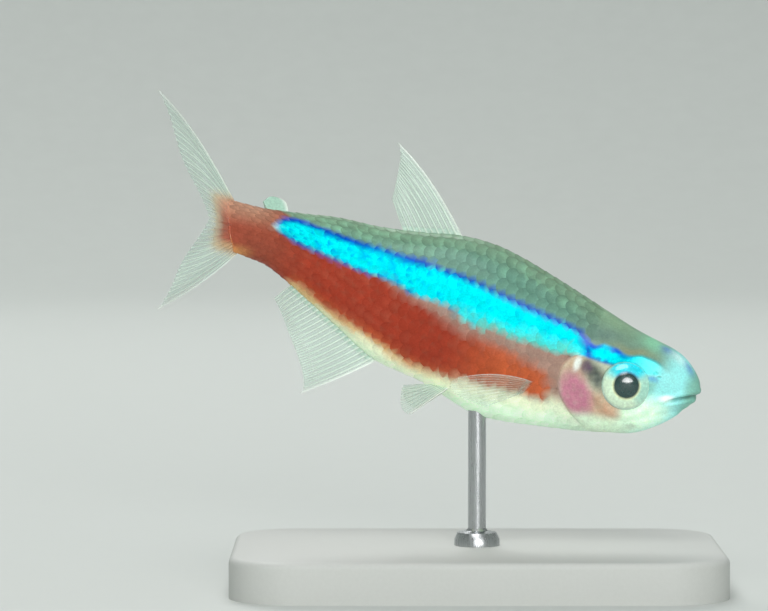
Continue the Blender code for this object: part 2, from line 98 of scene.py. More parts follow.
@dataclass(frozen=True)
class Step:
    """Smooth step between two values."""

    low: float
    high: float

    def up(self, value: Array) -> Array:
        """Rise from 0 at low to 1 at high."""
        return ease(self.low, self.high, value)

    def down(self, value: Array) -> Array:
        """Fall from 1 at low to 0 at high."""
        return 1.0 - ease(self.low, self.high, value)


@dataclass(frozen=True)
class Bell:
    """Soft ridge about a centre."""

    centre: float
    width: float
    height: float = 1.0

    def at(self, value: Array) -> Array:
        """Height of the ridge at a value."""
        return self.height * hump(value - self.centre, self.width)


@dataclass(frozen=True)
class Ripples:
    """Smooth uneven pattern, mostly between -1 and 1 and finer where along and across are larger."""

    along: float
    across: float
    seed: float
    waves: tuple[tuple[float, float, float], ...] = (
        (5.1, 1.7, 1.0), (-2.3, 4.9, 2.1), (7.7, -3.1, 0.7), (3.3, 8.3, 1.3),
    )
    gain: float = 1.4

    def at(self, x: Array, y: Array) -> Array:
        """Height of the pattern at points.

        Args:
            x: Places along the pattern.
            y: Places across it.

        Returns:
            Heights of the pattern.
        """
        x, y = x * self.along, y * self.across
        total = sum(np.sin(rate * x + cross * y + shift * self.seed) for rate, cross, shift in self.waves)
        return total / len(self.waves) * self.gain


@dataclass(frozen=True)
class Paint:
    """A colour and how strongly it covers what lies under it."""

    colour: Colour
    strength: float = 1.0

    def over(self, tint: Array, share: Array) -> Array:
        """Colours with this paint laid over a share of each, one row each."""
        return mix(tint, np.array(self.colour), (self.strength * share)[:, None])


@dataclass(frozen=True)
class SmoothLine:
    """Smooth line through points, which doesn't overshoot them."""

    points: tuple[tuple[float, float], ...]

    @cached_property
    def knots(self) -> tuple[Array, Array, Array]:
        """Fit the line's tangents, flattened where it would overshoot.

        Returns:
            Places, values and tangents of the line's points.
        """
        places, values = np.array(self.points, float).T
        slopes = np.diff(values) / np.diff(places)
        tangents = np.concatenate(([slopes[0]], (slopes[:-1] + slopes[1:]) / 2, [slopes[-1]]))
        tangents[1:-1][slopes[:-1] * slopes[1:] <= 0] = 0.0
        for i, slope in enumerate(slopes):
            tangents[i : i + 2] = np.clip(tangents[i : i + 2], -3 * abs(slope), 3 * abs(slope))
        return places, values, tangents

    def at(self, place: Array) -> Array:
        """Value of the line at a place or an array of them.

        Args:
            place: Where to read the line. Past its ends it keeps its end values.

        Returns:
            Values of the shape of place.
        """
        places, values, tangents = self.knots
        place = np.clip(place, places[0], places[-1])
        i = np.clip(np.searchsorted(places, place) - 1, 0, len(places) - 2)
        step = places[i + 1] - places[i]
        t = (place - places[i]) / step
        start = (1 + 2 * t) * (1 - t) ** 2 * values[i] + t * (1 - t) ** 2 * step * tangents[i]
        end = t * t * (3 - 2 * t) * values[i + 1] + t * t * (t - 1) * step * tangents[i + 1]
        return start + end


class Flank(Enum):
    """Side of the fish, with the sign of its girth."""

    RIGHT = 1.0
    LEFT = -1.0

    @property
    def word(self) -> str:
        """Name of the side as the nodes have it."""
        return self.name.lower()

    @property
    def sideways(self) -> float:
        """Sign of the drawing's side on this flank."""
        return -self.value


@dataclass(frozen=True)
class BodyForm:
    """Outline, sections and pose of the body, with the part's own sizes."""

    length: float = 0.032
    nose_down: float = math.radians(19.5)
    head_yaw: float = math.radians(8.0)
    tail_swing: float = math.radians(63.0)
    bend_start: float = 0.30
    bend_growth: float = 2.2
    tail_roll: float = math.radians(26.0)
    roll_start: float = 0.50
    body_end: float = 0.968
    tail_lean: float = 0.16
    tail_lean_start: float = 0.80
    back_fullness: float = 0.95
    belly_fullness: float = 1.08
    skin_end: float = 0.996
    taper_start: float = 0.90
    taper: float = 0.97
    rod_station: float = 0.385
    rod_top: float = 0.0105
    spine_reach: tuple[float, float] = (-0.10, 1.60)
    spine_points: int = 851
    table_stations: int = 161
    table_girths: int = 121
    table_turns: int = 361
    first_section: float = 0.002
    back: SmoothLine = SmoothLine((
        (0.0, -0.003), (0.004, 0.009), (0.011, 0.019), (0.030, 0.036), (0.050, 0.048), (0.075, 0.0555),
        (0.105, 0.0595), (0.150, 0.066), (0.240, 0.0865), (0.330, 0.1070), (0.410, 0.1225), (0.460, 0.1275),
        (0.530, 0.1215), (0.600, 0.103), (0.680, 0.086), (0.760, 0.077), (0.840, 0.061), (0.930, 0.049),
        (1.0, 0.050),
    ))
    belly: SmoothLine = SmoothLine((
        (0.0, -0.007), (0.004, -0.020), (0.009, -0.034), (0.021, -0.055), (0.043, -0.082), (0.066, -0.103),
        (0.085, -0.1170), (0.105, -0.1270), (0.130, -0.1345), (0.190, -0.1525), (0.270, -0.1710),
        (0.340, -0.1860), (0.385, -0.1910), (0.430, -0.1845), (0.500, -0.1680), (0.610, -0.1565),
        (0.640, -0.1460), (0.690, -0.1240), (0.740, -0.1040), (0.790, -0.0850), (0.840, -0.0660),
        (0.900, -0.0520), (1.0, -0.051),
    ))
    half_width: SmoothLine = SmoothLine((
        (0.0, 0.0), (0.004, 0.013), (0.020, 0.026), (0.050, 0.038), (0.100, 0.051), (0.150, 0.060),
        (0.200, 0.066), (0.300, 0.074), (0.400, 0.077), (0.500, 0.072), (0.600, 0.060), (0.700, 0.046),
        (0.800, 0.034), (0.900, 0.025), (1.0, 0.018),
    ))

    def heading(self, station: Array) -> Array:
        """Yaw of the spine at stations, positive where it points to the right flank's side."""
        bent = np.maximum(0.0, np.minimum(station, 1.0) - self.bend_start) / (1.0 - self.bend_start)
        return self.head_yaw - self.tail_swing * bent**self.bend_growth

    @cached_property
    def spine(self) -> tuple[Array, Array, Array]:
        """Run the spine out from its heading.

        Returns:
            Stations of the spine and their places in the level plane, zero at the snout.
        """
        stations = np.linspace(*self.spine_reach, self.spine_points)
        yaw = self.heading(stations)
        tracks = []
        for rate in (-np.cos(yaw), np.sin(yaw)):
            run = np.concatenate(([0.0], np.cumsum(np.diff(stations) * (rate[:-1] + rate[1:]) / 2)))
            tracks.append(run - np.interp(0.0, stations, run))
        return stations, tracks[0], tracks[1]

    def bend(self, station: Array, side: Array, height: Array) -> Array:
        """Points of the straight drawing on the bent, level fish.

        Args:
            station: Stations back from the snout.
            side: Sides to the fish's left.
            height: Heights above its axis.

        Returns:
            Points in metres, one row each.
        """
        stations, track_x, track_y = self.spine
        yaw = self.heading(station)
        rolled = (station - self.roll_start) / (self.body_end - self.roll_start)
        roll = self.tail_roll * np.clip(rolled, 0, 1) ** 2
        across = side * np.cos(roll) + height * np.sin(roll)
        up = height * np.cos(roll) - side * np.sin(roll)
        x = np.interp(station, stations, track_x) + across * np.sin(yaw)
        y = np.interp(station, stations, track_y) + across * np.cos(yaw)
        return np.stack((x, y, up), axis=-1) * self.length

    @cached_property
    def pose(self) -> Matrix:
        """Tilt the fish nose down and set its belly on the rod, which stands on the origin.

        Returns:
            Tilt and shift in one matrix.
        """
        tilt = Matrix.Rotation(self.nose_down, 4, "Y")
        lowest = self.belly.at(self.rod_station)
        belly = tilt @ Vector(self.bend(np.array(self.rod_station), np.array(0.0), lowest))
        return Matrix.Translation(Vector((0.0, 0.0, self.rod_top)) - belly) @ tilt

    def place(self, station: Array, side: Array, height: Array) -> Array:
        """World points of the straight drawing.

        Args:
            station: Stations back from the snout.
            side: Sides to the fish's left.
            height: Heights above its axis.

        Returns:
            Points in metres, one row each.
        """
        pose = np.array(self.pose)
        return self.bend(*np.broadcast_arrays(station, side, height)) @ pose[:3, :3].T + pose[:3, 3]

    def point(self, station: float, side: float, height: float) -> Vector:
        """World point of one point of the drawing."""
        return Vector(self.place(np.array(station), np.array(side), np.array(height)))

    def section(self, station: Array, turn: Array, lift: Array = 0.0) -> tuple[Array, Array]:
        """Outline of the skin's section.

        Args:
            station: Stations back from the snout.
            turn: Turns round the section, 0 on the back and pi on the belly.
            lift: How far the points stand above the skin.

        Returns:
            Half widths and heights.
        """
        upper = np.cos(turn) >= 0.0
        reach = np.where(upper, self.back.at(station), -self.belly.at(station)) + lift
        fullness = np.where(upper, self.back_fullness, self.belly_fullness)
        out = (self.half_width.at(station) + lift) * np.abs(np.sin(turn)) ** fullness
        return out, reach * signed_power(np.cos(turn), fullness)

    @cached_property
    def girth_turns(self) -> tuple[Array, Array, Array]:
        """Space the girths evenly round every section.

        Returns:
            Stations and girths of a grid, and the turn at each of its points.
        """
        stations = np.linspace(0.0, 1.0, self.table_stations)
        girths = np.linspace(0.0, 1.0, self.table_girths)
        turns = np.linspace(0.0, math.pi, self.table_turns)
        table = []
        for station in np.maximum(stations, self.first_section):
            out, height = self.section(np.full_like(turns, station), turns)
            run = np.concatenate(([0.0], np.cumsum(np.hypot(np.diff(out), np.diff(height)))))
            table.append(np.interp(girths, run / run[-1], turns))
        return stations, girths, np.array(table)

    def turn_at(self, station: Array, girth: Array) -> Array:
        """Turn round the section at a station and the size of a girth.

        Args:
            station: Stations back from the snout.
            girth: Girths from -1 to 1.

        Returns:
            Turns, the same on both flanks.
        """
        stations, girths, table = self.girth_turns
        row = np.clip(station, 0.0, 1.0) * (len(stations) - 1)
        column = np.clip(np.abs(girth), 0.0, 1.0) * (len(girths) - 1)
        i = np.minimum(row.astype(int), len(stations) - 2)
        j = np.minimum(column.astype(int), len(girths) - 2)
        u, v = row - i, column - j
        near = mix(table[i, j], table[i, j + 1], v)
        far = mix(table[i + 1, j], table[i + 1, j + 1], v)
        return mix(near, far, u)

    def skin(self, station: Array, girth: Array, lift: Array = 0.0) -> tuple[Array, Array, Array]:
        """Drawing coordinates of the skin.

        Args:
            station: Stations back from the snout.
            girth: Girths from -1 to 1.
            lift: How far the points stand above the skin.

        Returns:
            Stations, sides and heights.
        """
        out, height = self.section(station, self.turn_at(station, girth), lift)
        lean = np.clip((station - self.tail_lean_start) / (self.body_end - self.tail_lean_start), 0.0, 1.0)
        return station + self.tail_lean * lean * lean * height, -np.sign(girth) * out, height

    def tail_share(self, station: Array) -> Array:
        """Share of the width left at a station where the tail's end thins to a blade."""
        thin = np.clip((station - self.taper_start) / (self.skin_end - self.taper_start), 0.0, 1.0)
        return 1.0 - self.taper * thin**2

    def side_at(self, station: float, height: float) -> float:
        """Half width of the body at a station and height.

        Args:
            station: Station back from the snout.
            height: Height above the axis.

        Returns:
            Half width in body lengths.
        """
        reach, fullness = self.back.at(station), self.back_fullness
        if height < 0.0:
            reach, fullness = -self.belly.at(station), self.belly_fullness
        share = min(abs(height) / float(reach), 1.0)
        return float(self.half_width.at(station)) * (1.0 - share ** (2.0 / fullness)) ** (fullness / 2.0)


FORM = BodyForm()


@dataclass(frozen=True)
class Blob:
    """Soft oval mark on the flank, in station and height, turned about its centre."""

    centre: tuple[float, float]
    radii: tuple[float, float]
    turn: float = 0.0
    softness: float = 0.35

    def mask(self, station: Array, height: Array) -> Array:
        """Share of the mark at points, 1 inside it and 0 outside.

        Args:
            station: Stations of the points.
            height: Heights of the points.

        Returns:
            Shares from 0 to 1.
        """
        x, y = station - self.centre[0], height - self.centre[1]
        turn = math.radians(self.turn)
        along = (x * math.cos(turn) + y * math.sin(turn)) / self.radii[0]
        tall = (y * math.cos(turn) - x * math.sin(turn)) / self.radii[1]
        return 1.0 - ease(1.0 - self.softness, 1.0 + self.softness, np.hypot(along, tall))


@dataclass(frozen=True)
class EyeSeat:
    """Place and size of an eye, and the socket, rim and folds of the skin round it."""

    station: float = 0.134
    height: float = -0.0385
    radius: float = 0.0475
    half_depth: float = 0.0215
    proud: float = 0.0085
    toe: float = math.radians(9.0)
    socket_depth: float = 0.024
    socket_wall: Step = Step(-0.0085, -0.0015)
    dip: Bell = Bell(0.0, 0.0055, 0.0024)
    rim: Bell = Bell(0.011, 0.0045, 0.0010)
    fold: Bell = Bell(0.023, 0.0035, 0.0012)
    fold_top: Step = Step(-0.05, -0.02)

    def relief(self, station: Array, height: Array) -> Array:
        """Rise of the skin: a socket with a soft rim, and the shallow fold below it.

        Args:
            station: Stations of the points.
            height: Heights of the points.

        Returns:
            Rises along the normal, in body lengths.
        """
        gap = np.hypot(station - self.station, height - self.height) - self.radius
        socket = -self.socket_depth * self.socket_wall.down(gap)
        return socket + self.rim.at(gap) - self.dip.at(gap) - self.fold.at(gap) * self.fold_top.down(height)


EYE = EyeSeat()


@dataclass(frozen=True)
class Mouth:
    """Line of the mouth from the snout back to its corner, with its lips."""

    front_height: float = -0.0125
    corner_station: float = 0.054
    corner_height: float = -0.043
    fade_shares: tuple[float, float] = (0.70, 1.08)
    slit: float = 0.0022
    slit_depth: float = 0.0052
    slit_front: float = 0.35
    slit_deepens: Step = Step(0.0, 0.016)
    lip_spread: float = 0.0075
    lip_width: float = 0.0050
    lip_proud: float = 0.0038
    lips_start: Step = Step(-0.006, 0.004)
    plate: Blob = Blob((0.057, -0.040), (0.017, 0.0065), -35.0, 0.5)
    plate_proud: float = 0.0026
    chin: Bell = Bell(-0.024, 0.004, 0.0016)
    chin_end: Step = Step(0.05, 0.08)

    def offset(self, station: Array, height: Array) -> Array:
        """Distance above the mouth line."""
        slope = (self.corner_height - self.front_height) / self.corner_station
        return (height - self.front_height - slope * station) / math.hypot(1.0, slope)

    def fade(self, station: Array) -> Array:
        """How much of the lips is left at a station, 0 behind the corner."""
        start, end = self.fade_shares
        return 1.0 - ease(self.corner_station * start, self.corner_station * end, station)

    def relief(self, station: Array, height: Array) -> Array:
        """Rise of the skin: lips, their slit, the plate at the mouth's corner and the chin's fold.

        Args:
            station: Stations of the points.
            height: Heights of the points.

        Returns:
            Rises along the normal, in body lengths.
        """
        offset = self.offset(station, height)
        lips = hump(np.abs(offset) - self.lip_spread, self.lip_width) * self.lip_proud
        slit = hump(offset, self.slit) * (self.slit_depth + self.lip_proud / 2)
        slit = slit * mix(self.slit_front, 1.0, self.slit_deepens.up(station))
        plate = self.plate_proud * self.plate.mask(station, height)
        chin = self.chin.at(offset) * self.chin_end.down(station)
        return (lips * self.lips_start.up(station) - slit) * self.fade(station) + plate - chin


MOUTH = Mouth()


@dataclass(frozen=True)
class GillCover:
    """Rear edge of the gill cover and the groove of the cheek bone in front of it, stations by height."""

    edge: SmoothLine = SmoothLine((
        (-0.156, 0.150), (-0.146, 0.176), (-0.130, 0.208), (-0.105, 0.240), (-0.078, 0.257), (-0.050, 0.260),
        (-0.026, 0.250), (-0.008, 0.228), (0.004, 0.200),
    ))
    edge_top: Step = Step(-0.012, 0.006)
    edge_bottom: Step = Step(-0.152, -0.118)
    step: float = 0.0028
    plate_rise: Step = Step(-0.060, -0.006)
    plate_edge: Step = Step(-0.0030, 0.0022)
    groove: Bell = Bell(0.0036, 0.0036, 0.0022)
    cheek: SmoothLine = SmoothLine((
        (-0.124, 0.112), (-0.118, 0.140), (-0.104, 0.168), (-0.080, 0.186), (-0.050, 0.192), (-0.020, 0.186),
    ))
    cheek_groove: Bell = Bell(0.0, 0.0030, 0.0018)
    cheek_top: Step = Step(-0.040, -0.018)
    cheek_bottom: Step = Step(-0.126, -0.112)

    def behind(self, station: Array, height: Array) -> Array:
        """Distance behind the cover's rear edge."""
        return station - self.edge.at(height)

    def extent(self, height: Array) -> Array:
        """Share of the edge that shows at a height, 0 above the cover and at the belly."""
        return self.edge_top.down(height) * self.edge_bottom.up(height)

    def relief(self, station: Array, height: Array) -> Array:
        """Rise of the skin: a cover that rises to its rear edge, and the grooves at its ends.

        Args:
            station: Stations of the points.
            height: Heights of the points.

        Returns:
            Rises along the normal, in body lengths.
        """
        behind = self.behind(station, height)
        plate = self.step * self.plate_rise.up(behind) * self.plate_edge.down(behind)
        cheek = self.cheek_groove.at(station - self.cheek.at(height))
        cheek = cheek * self.cheek_top.down(height) * self.cheek_bottom.up(height)
        return (plate - self.groove.at(behind)) * self.extent(height) - cheek


GILL = GillCover()
CREAM = srgb(255, 255, 218)
MINT = srgb(226, 255, 224)
OLIVE = srgb(130, 162, 130)
AMBER = srgb(232, 176, 104)
AZURE = srgb(0, 132, 212)


@dataclass(frozen=True)
class Stripe:
    """Shining blue stripe from above the eye to the tail, by station and height."""

    top: SmoothLine = SmoothLine((
        (0.070, 0.018), (0.098, 0.024), (0.120, 0.025), (0.150, 0.016), (0.174, 0.0215), (0.196, 0.0215),
        (0.212, 0.014), (0.225, 0.018), (0.240, 0.0265), (0.258, 0.034), (0.299, 0.0380), (0.347, 0.042),
        (0.412, 0.0465), (0.478, 0.0525), (0.546, 0.0555), (0.609, 0.0515), (0.675, 0.0485), (0.730, 0.0445),
        (0.795, 0.0455), (0.840, 0.047), (0.875, 0.039), (0.905, 0.018),
    ))
    bottom: SmoothLine = SmoothLine((
        (0.070, 0.004), (0.100, -0.006), (0.134, -0.010), (0.169, -0.012), (0.193, -0.0134), (0.226, -0.013),
        (0.255, -0.018), (0.292, -0.0260), (0.324, -0.0235), (0.361, -0.0295), (0.401, -0.026),
        (0.441, -0.0265), (0.492, -0.016), (0.535, -0.014), (0.576, -0.0160), (0.631, -0.006),
        (0.712, -0.010), (0.782, -0.006), (0.845, -0.002), (0.891, 0.009), (0.907, 0.0145),
    ))
    start: Step = Step(0.066, 0.100)
    end: Step = Step(0.896, 0.910)
    softness: float = 0.0035
    upper_depth: Step = Step(0.0050, 0.0125)
    upper_waver: float = 0.0015
    upper_start: Step = Step(0.13, 0.17)
    upper_break: Bell = Bell(0.192, 0.012, 0.7)
    lower_depth: Step = Step(0.001, 0.010)
    lower_waver: float = 0.003
    lower_start: Step = Step(0.50, 0.62)
    lower_spots: tuple[Bell, Bell] = (Bell(0.190, 0.025), Bell(0.500, 0.020, 0.8))
    gap_station: float = 0.2215
    gap_lean: float = 0.50
    gap_width: float = 0.0085
    gap_bottom: Step = Step(-0.030, -0.010)
    gap_top: Step = Step(0.026, 0.036)
    gap_strength: float = 0.9
    dull_start: Step = Step(0.225, 0.26)
    dull_end: Step = Step(0.40, 0.52)
    dull_depth: Step = Step(0.006, 0.024)
    dull_waver: float = 0.008
    dull_strength: float = 1.2
    dark_loss: float = 0.9
    streaks: Ripples = Ripples(95.0, 40.0, 1.9)
    streak_edge: Step = Step(0.15, 0.95)
    streak_shares: tuple[float, float] = (0.25, 0.75)
    streaks_grow: Step = Step(0.45, 0.62)
    front_fades: Step = Step(0.100, 0.148)
    thin_edge: Step = Step(0.0015, 0.0050)
    end_fades: Step = Step(0.880, 0.905)
    neon: Colour = srgb(0, 214, 222)
    azure: Paint = Paint(AZURE)
    turquoise: Paint = Paint(srgb(88, 216, 204))
    pale_cyan: Paint = Paint(srgb(112, 234, 236), 0.8)
    teal: Paint = Paint(srgb(0, 128, 132), 0.8)
    deep_blue: Paint = Paint(srgb(0, 80, 196))
    violet: Paint = Paint(srgb(38, 66, 168), 0.9)
    pale_end: Paint = Paint(CREAM, 0.7)

    def share(self, station: Array, height: Array) -> Array:
        """Share of the stripe at points.

        Args:
            station: Stations of the points.
            height: Heights of the points.

        Returns:
            Shares from 0 to 1.
        """
        inside = ease(-self.softness, self.softness, height - self.bottom.at(station))
        inside = inside * (1.0 - ease(-self.softness, self.softness, height - self.top.at(station)))
        return inside * self.start.up(station) * self.end.down(station)

    def upper_edge(self, station: Array, height: Array, uneven: Array) -> Array:
        """Share of the deep blue edge along the top of the stripe.

        Args:
            station: Stations of the points.
            height: Heights of the points.
            uneven: Uneven pattern at the points.

        Returns:
            Shares from 0 to 1.
        """
        under_top = self.top.at(station) - height
        edge = self.upper_depth.down(under_top + self.upper_waver * uneven) * self.upper_start.up(station)
        return edge * (1.0 - self.upper_break.at(station))

    def lower_edge(self, station: Array, height: Array, uneven: Array) -> Array:
        """Share of the violet edge under the rear half of the stripe and behind the eye.

        Args:
            station: Stations of the points.
            height: Heights of the points.
            uneven: Uneven pattern at the points.

        Returns:
            Shares from 0 to 1.
        """
        over_bottom = height - self.bottom.at(station)
        low = self.lower_depth.down(over_bottom + self.lower_waver * uneven)
        behind_eye, middle = (spot.at(station) for spot in self.lower_spots)
        return low * np.maximum(self.lower_start.up(station), np.maximum(behind_eye, middle))

    def gap(self, station: Array, height: Array) -> Array:
        """Dark blue gap behind the eye, which parts the stripe of the head from that of the flank."""
        lean = self.gap_station + self.gap_lean * height
        return hump(station - lean, self.gap_width) * self.gap_bottom.up(height) * self.gap_top.down(height)

    def dull(self, station: Array, height: Array, uneven: Array) -> Array:
        """Share of the dull turquoise patches along the front half of the stripe's lower edge.

        Args:
            station: Stations of the points.
            height: Heights of the points.
            uneven: Uneven pattern at the points.

        Returns:
            Shares from 0 to 1.
        """
        over_bottom = height - self.bottom.at(station)
        length = self.dull_end.down(station) * self.dull_start.up(station)
        low = self.dull_depth.down(over_bottom + self.dull_waver * uneven)
        return np.clip(length * low * self.dull_strength, 0.0, 1.0)

    def shine(self, station: Array, height: Array, uneven: Array) -> Array:
        """How strongly the stripe glows with painted light at each point inside it.

        Args:
            station: Stations of the points.
            height: Heights of the points.
            uneven: Uneven pattern at the points.

        Returns:
            Shares from 0 to 1.
        """
        dark = np.maximum(self.upper_edge(station, height, uneven), self.gap(station, height))
        dark = np.maximum(dark, self.lower_edge(station, height, uneven))
        return 1.0 - self.dark_loss * np.maximum(dark, self.dull(station, height, uneven))

    def colours(self, station: Array, height: Array, uneven: Array) -> Array:
        """Colours inside the stripe: cyan, with a deep blue upper edge and a violet lower one at the rear.

        Args:
            station: Stations of the points.
            height: Heights of the points.
            uneven: Uneven pattern at the points.

        Returns:
            Linear colours, one row each.
        """
        streaky = mix(*self.streak_shares, self.streaks_grow.up(station))
        azure = self.streak_edge.up(self.streaks.at(station, height)) * streaky
        tint = self.azure.over(np.array(self.neon), azure)
        tint = self.turquoise.over(tint, self.dull(station, height, uneven))
        tint = self.pale_cyan.over(tint, self.front_fades.down(station))
        thin = self.thin_edge.down(self.top.at(station) - height) * self.upper_start.down(station)
        tint = self.teal.over(tint, thin)
        gap = self.gap_strength * self.gap(station, height)
        tint = self.deep_blue.over(tint, np.maximum(self.upper_edge(station, height, uneven), gap))
        tint = self.violet.over(tint, self.lower_edge(station, height, uneven))
        return self.pale_end.over(tint, self.end_fades.up(station))


STRIPE = Stripe()


@dataclass(frozen=True)
class TrunkColours:
    """Back, red band and belly behind the gill cover, by station and height."""

    red_top: SmoothLine = SmoothLine((
        (0.255, -0.088), (0.273, -0.078), (0.283, -0.0715), (0.309, -0.065), (0.348, -0.0585),
        (0.401, -0.053), (0.453, -0.054), (0.501, -0.0435), (0.546, -0.030), (0.598, -0.022),
        (0.643, -0.010), (0.700, 0.010), (0.860, 0.040), (0.905, 0.090),
    ))
    red_bottom: SmoothLine = SmoothLine((
        (0.258, -0.104), (0.272, -0.118), (0.310, -0.118), (0.350, -0.123), (0.398, -0.131), (0.440, -0.135),
        (0.479, -0.139), (0.523, -0.139), (0.572, -0.132), (0.610, -0.122), (0.653, -0.112), (0.697, -0.103),
        (0.740, -0.092), (0.772, -0.082), (0.826, -0.068), (0.850, -0.110),
    ))
    waver: float = 0.003
    red_front: float = 0.258
    red_front_depth: float = 0.018
    red_front_waver: float = 0.012
    red_edge: float = 0.0056
    red_fades: Step = Step(-0.010, 0.016)
    whole_tail: Step = Step(0.825, 0.850)
    ridge: Step = Step(-0.045, 0.0)
    # Painted highlights: glints of light along the back, laid on as lighter patches.
    glints: Ripples = Ripples(36.0, 60.0, 2.3)
    glint_edge: Step = Step(0.2, 0.9)
    glint_row: Bell = Bell(-0.020, 0.020)
    mauve_top: Step = Step(-0.004, 0.004)
    belly_top: Step = Step(-0.014, 0.010)
    belly_deepens: Step = Step(0.0, -0.05)
    rim_row: Bell = Bell(-0.004, 0.008)
    rim_start: Step = Step(0.36, 0.60)
    red_deepens: Step = Step(0.33, 0.50)
    red_low: Step = Step(0.0, 0.020)
    mottles: Ripples = Ripples(44.0, 52.0, 3.1)
    mottle_edge: Step = Step(0.1, 0.9)
    stem_start: Step = Step(0.78, 0.93)
    stem_top: Step = Step(-0.005, 0.045)
    stem_top_start: Step = Step(0.84, 0.95)
    corner_top: Step = Step(-0.048, -0.030)
    corner_start: Step = Step(0.92, 0.97)
    # Where and how strongly the silvery belly, throat and cheek glow with painted light.
    silver_depth: Step = Step(-0.030, 0.0)
    silver_front: float = 0.31
    silver_start: Step = Step(0.16, 0.30)
    silver_end: Step = Step(0.50, 0.75)
    silver_cheek: Blob = Blob((0.085, -0.055), (0.085, 0.060), -30.0, 0.8)
    silver_shine: float = 0.55
    back_green: Colour = srgb(106, 149, 132)
    back_olive: Paint = Paint(OLIVE, 0.85)
    # Colour of the back's painted highlights.
    back_painted_glint: Paint = Paint(srgb(150, 204, 168), 0.6)
    mauve: Paint = Paint(srgb(172, 138, 124))
    mint: Paint = Paint(MINT)
    amber_rim: Paint = Paint(AMBER, 0.75)
    red_orange: Colour = srgb(204, 98, 58)
    red: Paint = Paint(srgb(163, 58, 38))
    low_orange: Paint = Paint(red_orange, 0.6)
    stem_red: Paint = Paint(srgb(162, 80, 60))
    mottled_red: Paint = Paint(stem_red.colour, 0.5)
    # Pinker top of the tail stem: partly its own colour, partly a painted highlight of light from above.
    stem_pink_and_sheen: Paint = Paint(srgb(210, 160, 132), 0.85)
    amber_corner: Paint = Paint(AMBER, 0.5)

    def silver(self, station: Array, height: Array) -> Array:
        """Painted glow that gives the silvery belly, throat and cheek their shine.

        Args:
            station: Stations of the points.
            height: Heights of the points.

        Returns:
            Shares from 0 to 1.
        """
        under_red = height - self.red_bottom.at(np.maximum(station, self.silver_front))
        belly = self.silver_depth.down(under_red) * self.silver_start.up(station)
        belly = belly * self.silver_end.down(station)
        return self.silver_shine * np.maximum(belly, self.silver_cheek.mask(station, height))

    def pale(self, station: Array, height: Array, over_belly: Array) -> Array:
        """Colours of back, with its painted glints, mauve band and belly.

        Args:
            station: Stations of the points.
            height: Heights of the points.
            over_belly: Distance of each point above the red band's lower edge.

        Returns:
            Linear colours, one row each.
        """
        over_back = height - FORM.back.at(station)
        tint = self.back_olive.over(np.array(self.back_green), self.ridge.up(over_back))
        # Painted highlights: glints of light along the back.
        painted_glint = self.glint_edge.up(self.glints.at(station, height)) * self.glint_row.at(over_back)
        tint = self.back_painted_glint.over(tint, painted_glint)
        tint = self.mauve.over(tint, self.mauve_top.down(height - STRIPE.bottom.at(station)))
        belly = self.mint.over(np.array(CREAM), self.belly_deepens.up(over_belly))
        tint = mix(tint, belly, self.belly_top.down(over_belly)[:, None])
        return self.amber_rim.over(tint, self.rim_row.at(over_belly) * self.rim_start.up(station))

    def reds(self, station: Array, height: Array, over_belly: Array) -> Array:
        """Colours of the red band, paler at the tail base, with a pinker top there that is partly its own
        colour and partly a painted highlight.

        Args:
            station: Stations of the points.
            height: Heights of the points.
            over_belly: Distance of each point above the red band's lower edge.

        Returns:
            Linear colours, one row each.
        """
        tint = self.red.over(np.array(self.red_orange), self.red_deepens.up(station))
        tint = self.low_orange.over(tint, self.red_low.down(over_belly))
        tint = self.mottled_red.over(tint, self.mottle_edge.up(self.mottles.at(station, height)))
        tint = self.stem_red.over(tint, self.stem_start.up(station))
        # Pinker top: partly its own colour, partly a painted highlight.
        tint = self.stem_pink_and_sheen.over(tint, self.stem_top.up(height) * self.stem_top_start.up(station))
        return self.amber_corner.over(tint, self.corner_top.down(height) * self.corner_start.up(station))

    def colours(self, station: Array, height: Array, uneven: Array) -> Array:
        """Colours of the flank behind the gill cover, without the blue stripe.

        Args:
            station: Stations of the points.
            height: Heights of the points.
            uneven: Uneven pattern at the points.

        Returns:
            Linear colours, one row each.
        """
        over_belly = height - (self.red_bottom.at(station) + self.waver * uneven)
        over_red = height - (self.red_top.at(station) + self.waver * uneven)
        share = ease(-self.red_edge, self.red_edge, over_belly) * self.red_fades.down(over_red)
        tail = self.whole_tail.up(station) * (1.0 - ease(-self.red_edge, self.red_edge, over_red))
        behind_front = station - (self.red_front + self.red_front_waver * uneven)
        share = np.maximum(share, tail) * ease(0.0, self.red_front_depth, behind_front)
        pale = self.pale(station, height, over_belly)
        return mix(pale, self.reds(station, height, over_belly), share[:, None])


TRUNK = TrunkColours()


@dataclass(frozen=True)
class Mark:
    """Soft oval spot of one paint."""

    paint: Paint
    blob: Blob
    waver: float = 0.12

    def over(self, tint: Array, station: Array, height: Array, uneven: Array) -> Array:
        """Colours with the spot laid over them, one row each."""
        share = self.blob.mask(station, height) * self.paint.strength * (1.0 + self.waver * uneven)
        return Paint(self.paint.colour).over(tint, np.clip(share, 0.0, 1.0))


@dataclass(frozen=True)
class RidgeSpot:
    """Soft spot on each side of the head's ridge, or right across it."""

    paint: Paint
    along: Bell
    down: Bell
    midline: float = 0.15
    parting: Step = Step(0.001, 0.006)

    def over(self, tint: Array, station: Array, under_ridge: Array) -> Array:
        """Colours with the spot laid over them, one row each."""
        parted = mix(self.midline, 1.0, self.parting.up(under_ridge))
        return self.paint.over(tint, self.along.at(station) * self.down.at(under_ridge) * parted)


SALMON = srgb(196, 152, 124)
OPERCLE_PINK = srgb(192, 126, 146)
PLUM = srgb(94, 70, 98)
SMOKE = srgb(66, 74, 74)
SNOUT_TIP = srgb(124, 180, 164)
WHITE = srgb(240, 252, 246)
SNOUT_BLUE = srgb(48, 96, 196)


